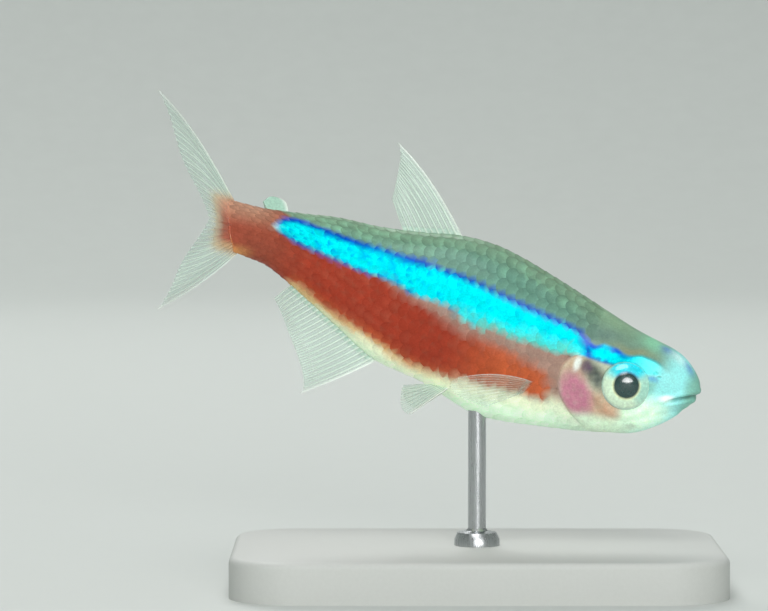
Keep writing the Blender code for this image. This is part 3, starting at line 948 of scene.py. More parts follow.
@dataclass(frozen=True)
class HeadColours:
    """Snout, cheek, gill cover and crown, by station and height."""

    snout_start: Step = Step(0.012, 0.038)
    cheek_start: Step = Step(0.07, 0.15)
    crown_edge: Step = Step(-0.012, -0.002)
    crown_start: Step = Step(0.050, 0.100)
    crown_ridge: Step = Step(0.004, 0.040)
    crown_olive_start: Step = Step(0.10, 0.19)
    brown_row: Bell = Bell(0.007, 0.007)
    brown_length: Bell = Bell(0.140, 0.036)
    nape: Blob = Blob((0.208, 0.035), (0.034, 0.010), -20.0, 0.8)
    nape_waver: float = 0.25
    seam_width: float = 0.0035
    slit_width: float = 0.003
    snout_tip: Colour = SNOUT_TIP
    snout: Paint = Paint(srgb(146, 222, 220))
    cheek: Paint = Paint(srgb(196, 204, 180))
    crown_grey: Colour = srgb(114, 142, 126)
    crown_olive: Paint = Paint(OLIVE, 0.85)
    brow_brown: Paint = Paint(srgb(140, 140, 104), 0.7)
    nape_dark: Paint = Paint(srgb(86, 108, 104), 0.6)
    gill_shade: Paint = Paint(srgb(150, 92, 84), 0.35)
    slit_shade: Paint = Paint(SMOKE, 0.4)
    marks: tuple[Mark, ...] = (
        Mark(Paint(MINT, 0.9), Blob((0.090, -0.085), (0.050, 0.030), -35.0, 0.6)),
        Mark(Paint(SALMON, 0.75), Blob((0.168, -0.092), (0.034, 0.024), 20.0, 0.6)),
        Mark(Paint(SALMON, 0.6), Blob((0.235, -0.050), (0.030, 0.040), 0.0, 0.6)),
        Mark(Paint(OPERCLE_PINK, 0.95), Blob((0.217, -0.088), (0.044, 0.029), 52.0, 0.42)),
        Mark(Paint(SMOKE, 0.85), Blob((0.193, -0.040), (0.032, 0.015), 42.0, 0.7)),
        Mark(Paint(PLUM, 0.7), Blob((0.214, -0.030), (0.011, 0.012), 0.0, 0.6)),
        Mark(Paint(SALMON, 0.6), Blob((0.143, -0.097), (0.016, 0.012), 0.0, 0.7)),
        Mark(Paint(AZURE, 0.55), Blob((0.089, -0.011), (0.009, 0.0055), 0.0, 0.8)),
        Mark(Paint(SNOUT_TIP, 0.6), Blob((0.087, -0.028), (0.008, 0.014), 0.0, 0.7)),
        # Painted highlight: a white glint at the top of the gill opening.
        Mark(Paint(WHITE, 0.8), Blob((0.232, -0.030), (0.006, 0.013), 0.0, 0.6)),
        Mark(Paint(SMOKE, 0.45), Blob((0.101, -0.111), (0.010, 0.006), -30.0, 0.7)),
        # Painted highlight: white reflection on the plate at the mouth's corner.
        Mark(Paint(WHITE, 0.9), Blob((0.053, -0.037), (0.014, 0.0055), -25.0, 0.6)),
        Mark(Paint(MINT, 0.8), Blob((0.190, -0.140), (0.090, 0.022), -12.0, 0.5)),
    )
    # Painted highlight: a green glint of light on the head's ridge over the eyes.
    brow_glint: RidgeSpot = RidgeSpot(Paint(srgb(138, 210, 170), 0.75), Bell(0.112, 0.026), Bell(0.004, 0.018), 1.0)
    streak: RidgeSpot = RidgeSpot(Paint(WHITE, 0.4), Bell(0.058, 0.018), Bell(0.006, 0.010))
    snout_spots: tuple[RidgeSpot, ...] = (
        RidgeSpot(Paint(SNOUT_BLUE, 0.55), Bell(0.032, 0.011), Bell(0.004, 0.010)),
        RidgeSpot(Paint(SNOUT_BLUE, 0.55), Bell(0.085, 0.011), Bell(0.004, 0.010)),
    )

    def crown(self, tint: Array, station: Array, height: Array, uneven: Array) -> Array:
        """Colours with the crown, a painted glint of light over the eyes, the nape and the snout's ridge laid
        over them.

        Args:
            tint: Linear colours of the head, one row each.
            station: Stations of the points.
            height: Heights of the points.
            uneven: Uneven pattern at the points.

        Returns:
            Linear colours, one row each.
        """
        over_stripe = height - STRIPE.top.at(station)
        under_ridge = FORM.back.at(station) - height
        high = self.crown_ridge.down(under_ridge) * self.crown_olive_start.up(station)
        bare = self.crown_olive.over(np.array(self.crown_grey), high)
        tint = mix(tint, bare, (self.crown_edge.up(over_stripe) * self.crown_start.up(station))[:, None])
        # Painted highlight over the eyes.
        tint = self.brow_glint.over(tint, station, under_ridge)
        tint = self.streak.over(tint, station, under_ridge)
        tint = self.brow_brown.over(tint, self.brown_row.at(over_stripe) * self.brown_length.at(station))
        dark = self.nape.mask(station, height) * (1.0 - self.nape_waver + self.nape_waver * uneven)
        tint = self.nape_dark.over(tint, dark)
        for spot in self.snout_spots:
            tint = spot.over(tint, station, under_ridge)
        return tint

    def colours(self, station: Array, height: Array, uneven: Array) -> Array:
        """Colours of the head and gill cover, without the blue stripe.

        Args:
            station: Stations of the points.
            height: Heights of the points.
            uneven: Uneven pattern at the points.

        Returns:
            Linear colours, one row each.
        """
        tint = self.snout.over(np.array(self.snout_tip), self.snout_start.up(station))
        tint = self.cheek.over(tint, self.cheek_start.up(station))
        for mark in self.marks:
            tint = mark.over(tint, station, height, uneven)
        tint = self.crown(tint, station, height, uneven)
        seam = hump(GILL.behind(station, height), self.seam_width) * GILL.extent(height)
        tint = self.gill_shade.over(tint, seam)
        slit = hump(MOUTH.offset(station, height), self.slit_width) * MOUTH.fade(station)
        return self.slit_shade.over(tint, slit)


HEAD = HeadColours()


@dataclass(frozen=True)
class Markings:
    """Colours of the whole fish, the same for its skin and its scales."""

    uneven: Ripples = Ripples(60.0, 60.0, 0.4)
    cover_edge: Step = Step(-0.006, 0.004)
    nape: Step = Step(0.20, 0.29)

    def paint(self, station: Array, height: Array) -> tuple[Array, Array]:
        """Colour of the fish.

        Args:
            station: Stations back from the snout.
            height: Heights above the axis.

        Returns:
            Linear colours, one row each, and how strongly each point glows with painted light.
        """
        uneven = self.uneven.at(station, height)
        head = self.cover_edge.down(GILL.behind(station, height))
        head = np.where(height > 0.0, self.nape.down(station), head)
        tint = TRUNK.colours(station, height, uneven)
        tint = mix(tint, HEAD.colours(station, height, uneven), head[:, None])
        stripe = STRIPE.share(station, height)
        # Painted glow: the stripe, and the silvery belly and cheek outside it, glow by emission rather than
        # only reflecting the lamps.
        shine = stripe * STRIPE.shine(station, height, uneven)
        shine = np.maximum(shine, TRUNK.silver(station, height) * (1.0 - stripe))
        return mix(tint, STRIPE.colours(station, height, uneven), stripe[:, None]), shine


MARKINGS = Markings()


class Recipe:
    """Node tree of one material, built round its Principled shader."""

    noise_range = (0.3, 0.7)

    def __init__(self, name: str) -> None:
        """Start a material with a plain Principled shader.

        Args:
            name: Name of the material.
        """
        self.material = bpy.data.materials.new(name)
        self.material.use_nodes = True
        self.tree = self.material.node_tree
        self.shader = self.tree.nodes["Principled BSDF"]

    def set(self, **values: float | tuple) -> None:
        """Set the shader's own sockets, named with underscores for spaces."""
        for name, value in values.items():
            self.shader.inputs[name.replace("_", " ")].default_value = value

    def node(
        self, kind: str, inputs: dict[str | int, object] | None = None, **settings: object
    ) -> bpy.types.Node:
        """Add a node.

        Args:
            kind: Node type without its ShaderNode prefix.
            inputs: Values or source sockets by input name or number.
            settings: Attributes of the node.

        Returns:
            The new node.
        """
        node = self.tree.nodes.new(f"ShaderNode{kind}")
        for name, value in settings.items():
            setattr(node, name, value)
        for name, value in (inputs or {}).items():
            if isinstance(value, bpy.types.NodeSocket):
                self.tree.links.new(value, node.inputs[name])
            else:
                node.inputs[name].default_value = value
        return node

    def feed(self, name: str, source: bpy.types.NodeSocket) -> None:
        """Link a source to one of the shader's inputs."""
        self.tree.links.new(source, self.shader.inputs[name])

    def attribute(self, name: str) -> bpy.types.Node:
        """Node that reads one of the piece's own attributes."""
        return self.node("Attribute", attribute_name=name)

    def noise(
        self, scale: float, detail: float, stretch: tuple[float, float, float] = (1.0, 1.0, 1.0)
    ) -> bpy.types.NodeSocket:
        """Add a noise on object coordinates.

        Args:
            scale: Its cycles in a metre.
            detail: How many finer layers it has.
            stretch: Factors of the scale along the three axes.

        Returns:
            The noise's factor.
        """
        place = self.node("TexCoord").outputs["Object"]
        drawn_out = self.node("Mapping", {"Vector": place, "Scale": stretch})
        noise = self.node("TexNoise", {"Vector": drawn_out.outputs[0], "Scale": scale, "Detail": detail})
        return noise.outputs[0]

    def spread(self, source: bpy.types.NodeSocket, low: float, high: float) -> bpy.types.NodeSocket:
        """Stretch a noise, which stays between 0.3 and 0.7 for the most part, over a range.

        Args:
            source: The noise.
            low: Low end of the range.
            high: High end of the range.

        Returns:
            The stretched value.
        """
        least, most = self.noise_range
        ends = {"From Min": least, "From Max": most, "To Min": low, "To Max": high}
        ranged = self.node("MapRange", {"Value": source, **ends})
        return ranged.outputs[0]

    def uneven_roughness(
        self, source: bpy.types.NodeSocket, roughness: float, spread: tuple[float, float]
    ) -> None:
        """Feed the roughness with a noise.

        Args:
            source: The noise.
            roughness: Roughness in the middle.
            spread: How far it goes below and above that.
        """
        self.feed("Roughness", self.spread(source, roughness + spread[0], roughness + spread[1]))

    def times(self, colour: bpy.types.NodeSocket, factor: bpy.types.NodeSocket) -> bpy.types.NodeSocket:
        """Colour scaled by a factor."""
        scaled = self.node("VectorMath", {0: colour, "Scale": factor}, operation="SCALE")
        return scaled.outputs[0]

    def bump(self, source: bpy.types.NodeSocket, depth: float, strength: float) -> None:
        """Raise the surface by a source, with its depth in metres."""
        node = self.node("Bump", {"Height": source, "Distance": depth, "Strength": strength})
        self.feed("Normal", node.outputs[0])


@dataclass(frozen=True)
class SkinFinish:
    """Wet skin or scale: painted tint with fine silvery grain, and a painted glow, its own tint emitted,
    where it shines.
    """

    roughness: float = 0.38
    roughness_spread: tuple[float, float] = (-0.06, 0.10)
    coat: float = 0.16
    coat_roughness: float = 0.16
    subsurface: float = 0.08
    subsurface_scale: float = 0.0004
    grain: float = 0.11
    grain_scale: float = 9000.0
    cloud: float = 0.08
    cloud_scale: float = 1400.0
    bump_depth: float = 0.00001
    bump_strength: float = 0.35
    # Strength of the painted glow that the emission gives.
    glow: float = 0.30

    def material(self, name: str) -> bpy.types.Material:
        """Material that reads the piece's tint and neon attributes.

        Args:
            name: Name of the material.

        Returns:
            The material.
        """
        recipe = Recipe(name)
        recipe.set(
            Coat_Roughness=self.coat_roughness, Subsurface_Weight=self.subsurface,
            Subsurface_Scale=self.subsurface_scale,
        )
        tint = recipe.attribute("tint").outputs["Color"]
        fine = recipe.noise(self.grain_scale, detail=4.0)
        coarse = recipe.noise(self.cloud_scale, detail=2.0)
        grain = recipe.spread(fine, 1.0 - self.grain, 1.0 + self.grain)
        cloud = recipe.spread(coarse, 1.0 - self.cloud, 1.0 + self.cloud)
        colour = recipe.times(recipe.times(tint, grain), cloud)
        recipe.feed("Base Color", colour)
        recipe.feed("Specular Tint", tint)
        recipe.uneven_roughness(fine, self.roughness, self.roughness_spread)
        # The neon attribute holds how strongly each point glows with painted light.
        neon = recipe.attribute("neon").outputs["Fac"]
        coat = recipe.node("Math", {0: neon, 1: -self.coat, 2: self.coat}, operation="MULTIPLY_ADD")
        recipe.feed("Coat Weight", coat.outputs[0])
        # Painted glow: the tint is emitted by the neon share, standing in for the light that the stripe and
        # silvery belly reflect.
        glow = recipe.node("Math", {0: neon, 1: self.glow}, operation="MULTIPLY")
        recipe.feed("Emission Color", colour)
        recipe.feed("Emission Strength", glow.outputs[0])
        recipe.bump(fine, self.bump_depth, self.bump_strength)
        return recipe.material


@dataclass(frozen=True)
class FinFinish:
    """Thin clear membrane with whitish rays, more solid at the root."""

    roughness: float = 0.38
    roughness_spread: tuple[float, float] = (-0.05, 0.10)
    coat: float = 0.25
    coat_roughness: float = 0.2
    grain: float = 0.05
    grain_scale: float = 9000.0
    cover_grain: float = 0.07
    bump_depth: float = 0.000008
    bump_strength: float = 0.3

    def material(self, name: str) -> bpy.types.Material:
        """Material that reads the fin's tint and cover attributes.

        Args:
            name: Name of the material.

        Returns:
            The material.
        """
        recipe = Recipe(name)
        recipe.set(Coat_Weight=self.coat, Coat_Roughness=self.coat_roughness)
        fine = recipe.noise(self.grain_scale, detail=3.0)
        tint = recipe.attribute("tint").outputs["Color"]
        grain = recipe.spread(fine, 1.0 - self.grain, 1.0 + self.grain)
        recipe.feed("Base Color", recipe.times(tint, grain))
        cover = recipe.attribute("cover").outputs["Fac"]
        patchy = recipe.spread(fine, 1.0 - self.cover_grain, 1.0 + self.cover_grain)
        alpha = recipe.node("Math", {0: cover, 1: patchy}, operation="MULTIPLY", use_clamp=True)
        recipe.feed("Alpha", alpha.outputs[0])
        recipe.uneven_roughness(fine, self.roughness, self.roughness_spread)
        recipe.bump(fine, self.bump_depth, self.bump_strength)
        return recipe.material


@dataclass(frozen=True)
class EyeFinish:
    """Glossy eyeball with a painted iris under a clear coat."""

    roughness: float = 0.24
    roughness_spread: tuple[float, float] = (-0.06, 0.06)
    coat_roughness: float = 0.03
    grain: float = 0.1
    grain_scale: float = 6000.0

    def material(self, name: str) -> bpy.types.Material:
        """Material that reads the eye's tint attribute.

        Args:
            name: Name of the material.

        Returns:
            The material.
        """
        recipe = Recipe(name)
        recipe.set(Coat_Weight=1.0, Coat_Roughness=self.coat_roughness)
        fine = recipe.noise(self.grain_scale, detail=3.0)
        tint = recipe.attribute("tint").outputs["Color"]
        grain = recipe.spread(fine, 1.0 - self.grain, 1.0 + self.grain)
        recipe.feed("Base Color", recipe.times(tint, grain))
        recipe.uneven_roughness(fine, self.roughness, self.roughness_spread)
        return recipe.material


@dataclass(frozen=True)
class StandFinish:
    """Plain material of stand or floor, with a fine grain that may be drawn out."""

    colour: Colour
    roughness: float
    grain_scale: float
    grain: float
    bump_depth: float
    metallic: float = 0.0
    stretch: tuple[float, float, float] = (1.0, 1.0, 1.0)
    roughness_spread: tuple[float, float] = (-0.06, 0.08)
    bump_strength: float = 0.3

    def material(self, name: str) -> bpy.types.Material:
        """Material with its grain along the stretch.

        Args:
            name: Name of the material.

        Returns:
            The material.
        """
        recipe = Recipe(name)
        recipe.set(Metallic=self.metallic)
        grain = recipe.noise(self.grain_scale, detail=4.0, stretch=self.stretch)
        shade = recipe.spread(grain, 1.0 - self.grain, 1.0 + self.grain)
        base = recipe.node("RGB")
        base.outputs[0].default_value = (*self.colour, 1.0)
        recipe.feed("Base Color", recipe.times(base.outputs[0], shade))
        recipe.uneven_roughness(grain, self.roughness, self.roughness_spread)
        recipe.bump(grain, self.bump_depth, self.bump_strength)
        return recipe.material


ACRYLIC = StandFinish(srgb(188, 190, 186), 0.58, grain_scale=5000.0, grain=0.02, bump_depth=0.000006)
STEEL = StandFinish(
    srgb(186, 188, 190), 0.28, grain_scale=9000.0, grain=0.06, bump_depth=0.000004, metallic=1.0,
    stretch=(1.0, 1.0, 0.05),
)
FLOOR = StandFinish(srgb(196, 200, 196), 0.75, grain_scale=300.0, grain=0.015, bump_depth=0.00002)


@dataclass
class Piece:
    """A finished mesh with its material, its slot and the CAD nodes whose place it takes."""

    name: str
    shape: bmesh.types.BMesh
    material: bpy.types.Material
    slot: str
    replaced: tuple[str, ...] = ()
    crease: float | None = None

    def make(self, colours: Array | None = None, **floats: Array) -> bpy.types.Object:
        """Make the object.

        Args:
            colours: Linear colour of each vertex, kept as the tint attribute.
            floats: Further attributes, one value for each vertex.

        Returns:
            The object, riding on the root body.
        """
        mesh = bpy.data.meshes.new(self.name)
        self.shape.to_mesh(mesh)
        self.shape.free()
        mesh.materials.append(self.material)
        mesh.shade_smooth()
        if self.crease is not None:
            mesh.set_sharp_from_angle(angle=math.radians(self.crease))
        if colours is not None:
            tint = mesh.color_attributes.new(name="tint", type="FLOAT_COLOR", domain="POINT")
            rgba = np.concatenate((np.clip(colours, 0.0, 1.0), np.ones((len(colours), 1))), axis=1)
            tint.data.foreach_set("color", rgba.astype(np.float32).ravel())
        for name, values in floats.items():
            layer = mesh.attributes.new(name, "FLOAT", "POINT")
            layer.data.foreach_set("value", np.asarray(values, np.float32))
        piece = bpy.data.objects.new(self.name, mesh)
        bpy.context.scene.collection.objects.link(piece)
        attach(piece, "root")
        if self.replaced:
            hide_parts(*self.replaced)
        log.info("%s: %d faces", self.name, len(mesh.polygons))
        return piece


def coordinates(shape: bmesh.types.BMesh) -> Array:
    """Vertex coordinates of a shape, one row each."""
    return np.array([vert.co[:] for vert in shape.verts])


def move(shape: bmesh.types.BMesh, points: Array) -> None:
    """Put the vertices of a shape at new points."""
    for vert, point in zip(shape.verts, points):
        vert.co = point


def face_outwards(shape: bmesh.types.BMesh) -> None:
    """Turn a closed shape's faces outwards where they all point in.

    Args:
        shape: Closed shape, changed in place.
    """
    if shape.calc_volume(signed=True) < 0.0:
        bmesh.ops.reverse_faces(shape, faces=shape.faces[:])
    shape.normal_update()


@dataclass
class Skin:
    """Whole skin of head, trunk and tail stem, with lips, nostrils, sockets and gill covers."""

    around: int = 220
    rings: int = 330
    crowding: float = 1.30
    pole_reach: float = 1e-6
    snout_pole_height: float = -0.005
    coat_depth: float = 0.0013
    coat_edge: Step = Step(-0.004, 0.010)
    coat_nape: Step = Step(0.215, 0.240)
    coat_end: Step = Step(0.93, 0.965)
    coat_end_loss: float = 0.8
    nostrils: tuple[tuple[float, float, float], ...] = ((0.079, -0.004, 0.0034), (0.087, 0.001, 0.0046))
    nostril_rim: Bell = Bell(1.2, 0.35, 0.0018)
    nostril_depth: float = 0.0080
    nostril_wall: Step = Step(0.4, 1.1)
    finish: SkinFinish = SkinFinish()

    def grid(self) -> tuple[bmesh.types.BMesh, Array, Array]:
        """Lay out the skin on a sphere whose rings stand for stations.

        Returns:
            The sphere, and the station and girth of each vertex.
        """
        shape = bmesh.new()
        bmesh.ops.create_uvsphere(shape, u_segments=self.around, v_segments=self.rings, radius=1.0)
        spots = coordinates(shape)
        ring = np.arccos(np.clip(spots[:, 2], -1.0, 1.0)) / math.pi
        return shape, FORM.skin_end * ring**self.crowding, np.arctan2(spots[:, 1], spots[:, 0]) / math.pi

    def relief(self, station: Array, height: Array) -> Array:
        """Rise of the skin above the smooth body, from lips to gill cover.

        Args:
            station: Stations of the points.
            height: Heights of the points.

        Returns:
            Rises along the normal, in body lengths.
        """
        trunk = self.coat_edge.up(GILL.behind(station, height))
        rise = -self.coat_depth * np.where(height > 0.0, self.coat_nape.up(station), trunk)
        rise *= 1.0 - self.coat_end_loss * self.coat_end.up(station)
        rise += MOUTH.relief(station, height) + EYE.relief(station, height)
        rise += GILL.relief(station, height)
        for centre, level, radius in self.nostrils:
            gap = np.hypot(station - centre, height - level) / radius
            rise += self.nostril_rim.at(gap) - self.nostril_depth * self.nostril_wall.down(gap)
        return rise

    def build(self) -> bpy.types.Object:
        """Build the skin and dress it with the markings.

        Returns:
            The skin.
        """
        shape, station, girth = self.grid()
        drawn, side, height = FORM.skin(station, girth)
        side = side * FORM.tail_share(station)
        snout = station < self.pole_reach
        pole = snout | (station > FORM.skin_end - self.pole_reach)
        height = np.where(pole, np.where(snout, self.snout_pole_height, 0.0), height)
        side = np.where(pole, 0.0, side)
        move(shape, FORM.place(drawn, side, height))
        face_outwards(shape)
        normals = np.array([vert.normal[:] for vert in shape.verts])
        rise = self.relief(drawn, height) * FORM.length
        move(shape, coordinates(shape) + normals * rise[:, None])
        # neon is how strongly each point glows with painted light, by emission.
        colours, neon = MARKINGS.paint(drawn, height)
        names = ("head", "trunk", "tail_stem", "gill_cover_left", "gill_cover_right")
        piece = Piece("skin", shape, self.finish.material("wet_skin"), "skin", names)
        return piece.make(colours, neon=neon)


@dataclass
class ScaleCoat:
    """Overlapping scales behind the gill cover, in staggered rows on both flanks."""

    rows: int = 13
    pitch: float = 0.0212
    first_station: float = 0.10
    last_station: float = 0.972
    head_top: float = 0.218
    cover_height: float = -0.006
    tuck: float = -0.002
    overlap_along: float = 0.92
    overlap_across: float = 0.66
    segments: int = 18
    rim_width: float = 0.13
    root_narrowing: float = 0.12
    tail_limit: float = 0.999
    wobble: Ripples = Ripples(900.0, 700.0, 2.0)
    width_wobble: float = 0.05
    lift_root: float = -0.0013
    lift_edge: float = 0.0006
    lift_wobble: float = 0.0002
    thickness: float = 0.0006
    rim_thins: Step = Step(0.85, 1.0)
    rim_thinning: float = 0.45
    tail_sinks: Step = Step(0.92, 0.965)
    tail_sinking: float = 0.8
    mark_snap: float = 0.14
    mark_seat: float = 0.3
    rim_shade: float = 0.34
    low_shade: float = 0.5
    rim_band: Step = Step(0.72, 0.98)
    free_half: Step = Step(0.35, 0.75)
    above_stripe: Step = Step(-0.02, 0.03)
    tone_wobble: float = 0.08
    tone_slope: float = 0.10
    bake_half: float = 0.0015
    bake_height: float = 0.48
    finish: SkinFinish = SkinFinish(roughness=0.42, grain=0.10, coat=0.25)

    def template(self) -> bpy.types.Mesh:
        """Model one scale: a rounded plate, along x from root to free edge.

        Returns:
            Plate of radius 1 with a wall of 1, which takes its size on the fish.
        """
        shape = bmesh.new()
        bmesh.ops.create_circle(shape, cap_ends=True, segments=self.segments, radius=1.0)
        bmesh.ops.inset_region(shape, faces=shape.faces[:], thickness=self.rim_width, use_even_offset=False)
        inner = [face for face in shape.faces if len(face.verts) == self.segments]
        bmesh.ops.poke(shape, faces=inner)
        for vert in shape.verts:
            vert.co.y *= 1.0 - self.root_narrowing * max(-vert.co.x, 0.0)
        top = bmesh.ops.extrude_face_region(shape, geom=shape.faces[:], use_keep_orig=True)["geom"]
        top_verts = [item for item in top if isinstance(item, bmesh.types.BMVert)]
        bmesh.ops.translate(shape, vec=(0.0, 0.0, 1.0), verts=top_verts)
        bmesh.ops.recalc_face_normals(shape, faces=shape.faces[:])
        mesh = bpy.data.meshes.new("scale_template")
        shape.to_mesh(mesh)
        shape.free()
        return mesh

    def seats(self) -> Array:
        """Lay out the scales' centres on the right flank.

        Returns:
            Station and girth of every centre, one row each.
        """
        seats = []
        for row in range(self.rows):
            girth = (row + 0.5) / self.rows
            shift = 0.5 * (row % 2)
            count = int((self.last_station - self.first_station) / self.pitch)
            for i in range(count):
                station = self.last_station - (i + shift) * self.pitch
                drawn, _, height = FORM.skin(np.array(station), np.array(girth))
                front = self.head_top if height > self.cover_height else float(GILL.edge.at(height))
                if float(drawn) > front + self.tuck:
                    seats.append((station, girth))
        return np.array(seats)

    def lift(self, local: Array, centre: Array, wobble: Array) -> Array:
        """Height of each point above the skin.

        Args:
            local: Points of the scales' own plates, one row each.
            centre: Station of each point's scale.
            wobble: Unevenness of each point's scale.

        Returns:
            Heights in body lengths.
        """
        along = (local[:, 0] + 1.0) / 2.0
        rim = np.hypot(local[:, 0], local[:, 1])
        lift = mix(self.lift_root, self.lift_edge + self.lift_wobble * wobble, along)
        lift = lift + local[:, 2] * self.thickness * (1.0 - self.rim_thinning * self.rim_thins.up(rim))
        return lift * (1.0 - self.tail_sinking * self.tail_sinks.up(centre))

    def tone(self, local: Array, wobble: Array, over_stripe: Array) -> Array:
        """Brightness of each point: darker towards the free rim, and uneven from scale to scale.

        Args:
            local: Points of the scales' own plates, one row each.
            wobble: Unevenness of each point's scale.
            over_stripe: Height of each point above the blue stripe.

        Returns:
            Factors for the colours, one row each.
        """
        along = (local[:, 0] + 1.0) / 2.0
        rim = np.hypot(local[:, 0], local[:, 1])
        edge = self.rim_band.up(rim) * self.free_half.up(along)
        dusk = edge * self.rim_shade * mix(self.low_shade, 1.0, self.above_stripe.up(over_stripe))
        uneven = 1.0 + self.tone_wobble * wobble + self.tone_slope * (along - 0.5)
        return ((1.0 - dusk) * uneven)[:, None]

    def build(self, flank: Flank) -> bpy.types.Object:
        """Build one flank's coat.

        Args:
            flank: Side of the fish that it covers.

        Returns:
            The coat, with its bake map.
        """
        seats = self.seats()
        template = self.template()
        shape = bmesh.new()
        for _ in seats:
            shape.from_mesh(template)
        local = coordinates(shape)
        centre, row_girth = np.repeat(seats, len(template.vertices), axis=0).T
        bpy.data.meshes.remove(template)
        wobble = self.wobble.at(centre, row_girth)
        across = local[:, 1] * self.overlap_across / self.rows * (1.0 + self.width_wobble * wobble)
        station = np.clip(centre + local[:, 0] * self.overlap_along * self.pitch, 0.0, self.tail_limit)
        girth = np.clip(row_girth + across, 0.0, 1.0) * flank.value
        drawn, side, height = FORM.skin(station, girth, self.lift(local, centre, wobble))
        move(shape, FORM.place(drawn, side * FORM.tail_share(station), height))
        face_outwards(shape)
        seat_drawn, _, seat_height = FORM.skin(centre + self.mark_seat * self.pitch, row_girth * flank.value)
        # neon is how strongly each point glows with painted light, by emission.
        colours, neon = MARKINGS.paint(
            mix(drawn, seat_drawn, self.mark_snap), mix(height, seat_height, self.mark_snap)
        )
        colours = colours * self.tone(local, wobble, height - STRIPE.top.at(drawn))
        self.map_roots(shape, centre, row_girth * flank.value, local)
        material = self.finish.material(f"scale_{flank.word}")
        piece = Piece(f"scales_{flank.word}", shape, material, "skin", crease=35.0)
        return piece.make(colours, neon=neon)

    def map_roots(self, shape: bmesh.types.BMesh, station: Array, girth: Array, local: Array) -> None:
        """Add the bake map, in which each scale is a small patch at its place on the unrolled skin.

        Args:
            shape: Scales of one flank.
            station: Station of each vertex's scale.
            girth: Girth of each vertex's scale.
            local: Points of the scales' own plates, one row each.
        """
        bake = shape.loops.layers.uv.new("OFBake")
        u = station + local[:, 0] * self.bake_half
        v = 0.5 + self.bake_height * girth + local[:, 1] * self.bake_half
        shape.verts.index_update()
        for face in shape.faces:
            for loop in face.loops:
                i = loop.vert.index
                loop[bake].uv = (u[i], v[i])


@dataclass
class Eye:
    """Eyeball with a bulging pupil and a pale iris that is cyan above."""

    seat: EyeSeat = EYE
    segments: int = 72
    rings: int = 64
    pupil: float = 0.52
    lens_bulge: float = 0.07
    groove: float = 1.12
    groove_width: float = 0.08
    groove_depth: float = 0.02
    pupil_edge: tuple[float, float] = (0.03, 0.02)
    ring_width: float = 0.10
    ring_waver: float = 0.01
    streaks: tuple[float, float, float] = (23.0, 41.0, 9.0)
    streak_end: float = 0.7
    streak_shade: float = 0.06
    upper_half: Step = Step(0.15, 0.85)
    up_lean: float = 0.25
    fore_side: Step = Step(0.55, 1.0)
    limb_edge: Step = Step(0.86, 0.97)
    black: Colour = srgb(18, 56, 54)
    inner: Colour = srgb(226, 236, 186)
    lower: Colour = srgb(214, 240, 210)
    upper: Paint = Paint(srgb(20, 214, 230))
    fore: Paint = Paint(srgb(150, 210, 194), 0.8)
    upper_deep: Paint = Paint(srgb(0, 136, 190), 0.9)
    limb: Paint = Paint(srgb(190, 220, 204))
    finish: EyeFinish = EyeFinish()

    def build(self, flank: Flank, material: bpy.types.Material) -> bpy.types.Object:
        """Build one eye in its socket.

        Args:
            flank: Side of the fish that it is on.
            material: Shared material of both eyes.

        Returns:
            The eyeball.
        """
        seat = self.seat
        shape = bmesh.new()
        bmesh.ops.create_uvsphere(shape, u_segments=self.segments, v_segments=self.rings, radius=1.0)
        local = coordinates(shape)
        gap = np.hypot(local[:, 0], local[:, 1])
        lens = 1.0 - np.clip(gap / self.pupil, 0.0, 1.0) ** 2
        groove = self.groove_depth * hump(gap - self.pupil * self.groove, self.groove_width)
        front = local[:, 2] > 0.0
        out = local[:, 2] + np.where(front, self.lens_bulge * lens - groove, 0.0)
        turn = flank.sideways * seat.toe
        reach = FORM.side_at(seat.station, seat.height) + seat.proud - seat.half_depth
        x, y = local[:, 0] * seat.radius, flank.sideways * out * seat.half_depth
        station = seat.station + x * math.cos(turn) - y * math.sin(turn)
        side = flank.sideways * reach + x * math.sin(turn) + y * math.cos(turn)
        height = seat.height + local[:, 1] * seat.radius
        move(shape, FORM.place(station, side, height))
        face_outwards(shape)
        piece = Piece(f"eyeball_{flank.word}", shape, material, "eye", (f"eye_{flank.word}",))
        return piece.make(self.iris(gap, np.arctan2(local[:, 1], local[:, 0]), front))

    def iris(self, gap: Array, turn: Array, front: Array) -> Array:
        """Colours of the eyeball.

        Args:
            gap: Distances from the pupil's centre, as shares of the eye's radius.
            turn: Turns round the pupil's centre, 0 at the rear.
            front: Whether each point is on the outer half.

        Returns:
            Linear colours, one row each.
        """
        coarse, fine, twist = self.streaks
        streaks = np.sin(turn * coarse) * 0.5 + np.sin(turn * fine + gap * twist) * 0.5
        up = self.upper_half.up(np.sin(turn) + self.up_lean * np.cos(turn))
        ring = self.upper.over(np.array(self.lower), up)
        ring = self.fore.over(ring, self.fore_side.up(-np.cos(turn)))
        inner = self.upper_deep.over(np.array(self.inner), up)
        outside = ease(self.pupil, self.pupil + self.ring_width, gap + self.ring_waver * streaks)
        tint = mix(inner, ring, outside[:, None])
        tint = tint * (1.0 + self.streak_shade * streaks * ease(self.pupil, self.streak_end, gap))[:, None]
        tint = self.limb.over(tint, self.limb_edge.up(gap))
        within, without = self.pupil_edge
        iris = ease(self.pupil - within, self.pupil + without, gap)
        tint = mix(np.array(self.black), tint, iris[:, None])
        return np.where(front[:, None], tint, np.array(self.limb.colour))


class RootLine(Enum):
    """Line of the body that a fin's root follows."""

    BACK = "back"
    BELLY = "belly"
    FREE = "free"

    def height(self, station: Array) -> Array:
        """Height of the line at stations."""
        return {"back": FORM.back, "belly": FORM.belly}[self.value].at(station)


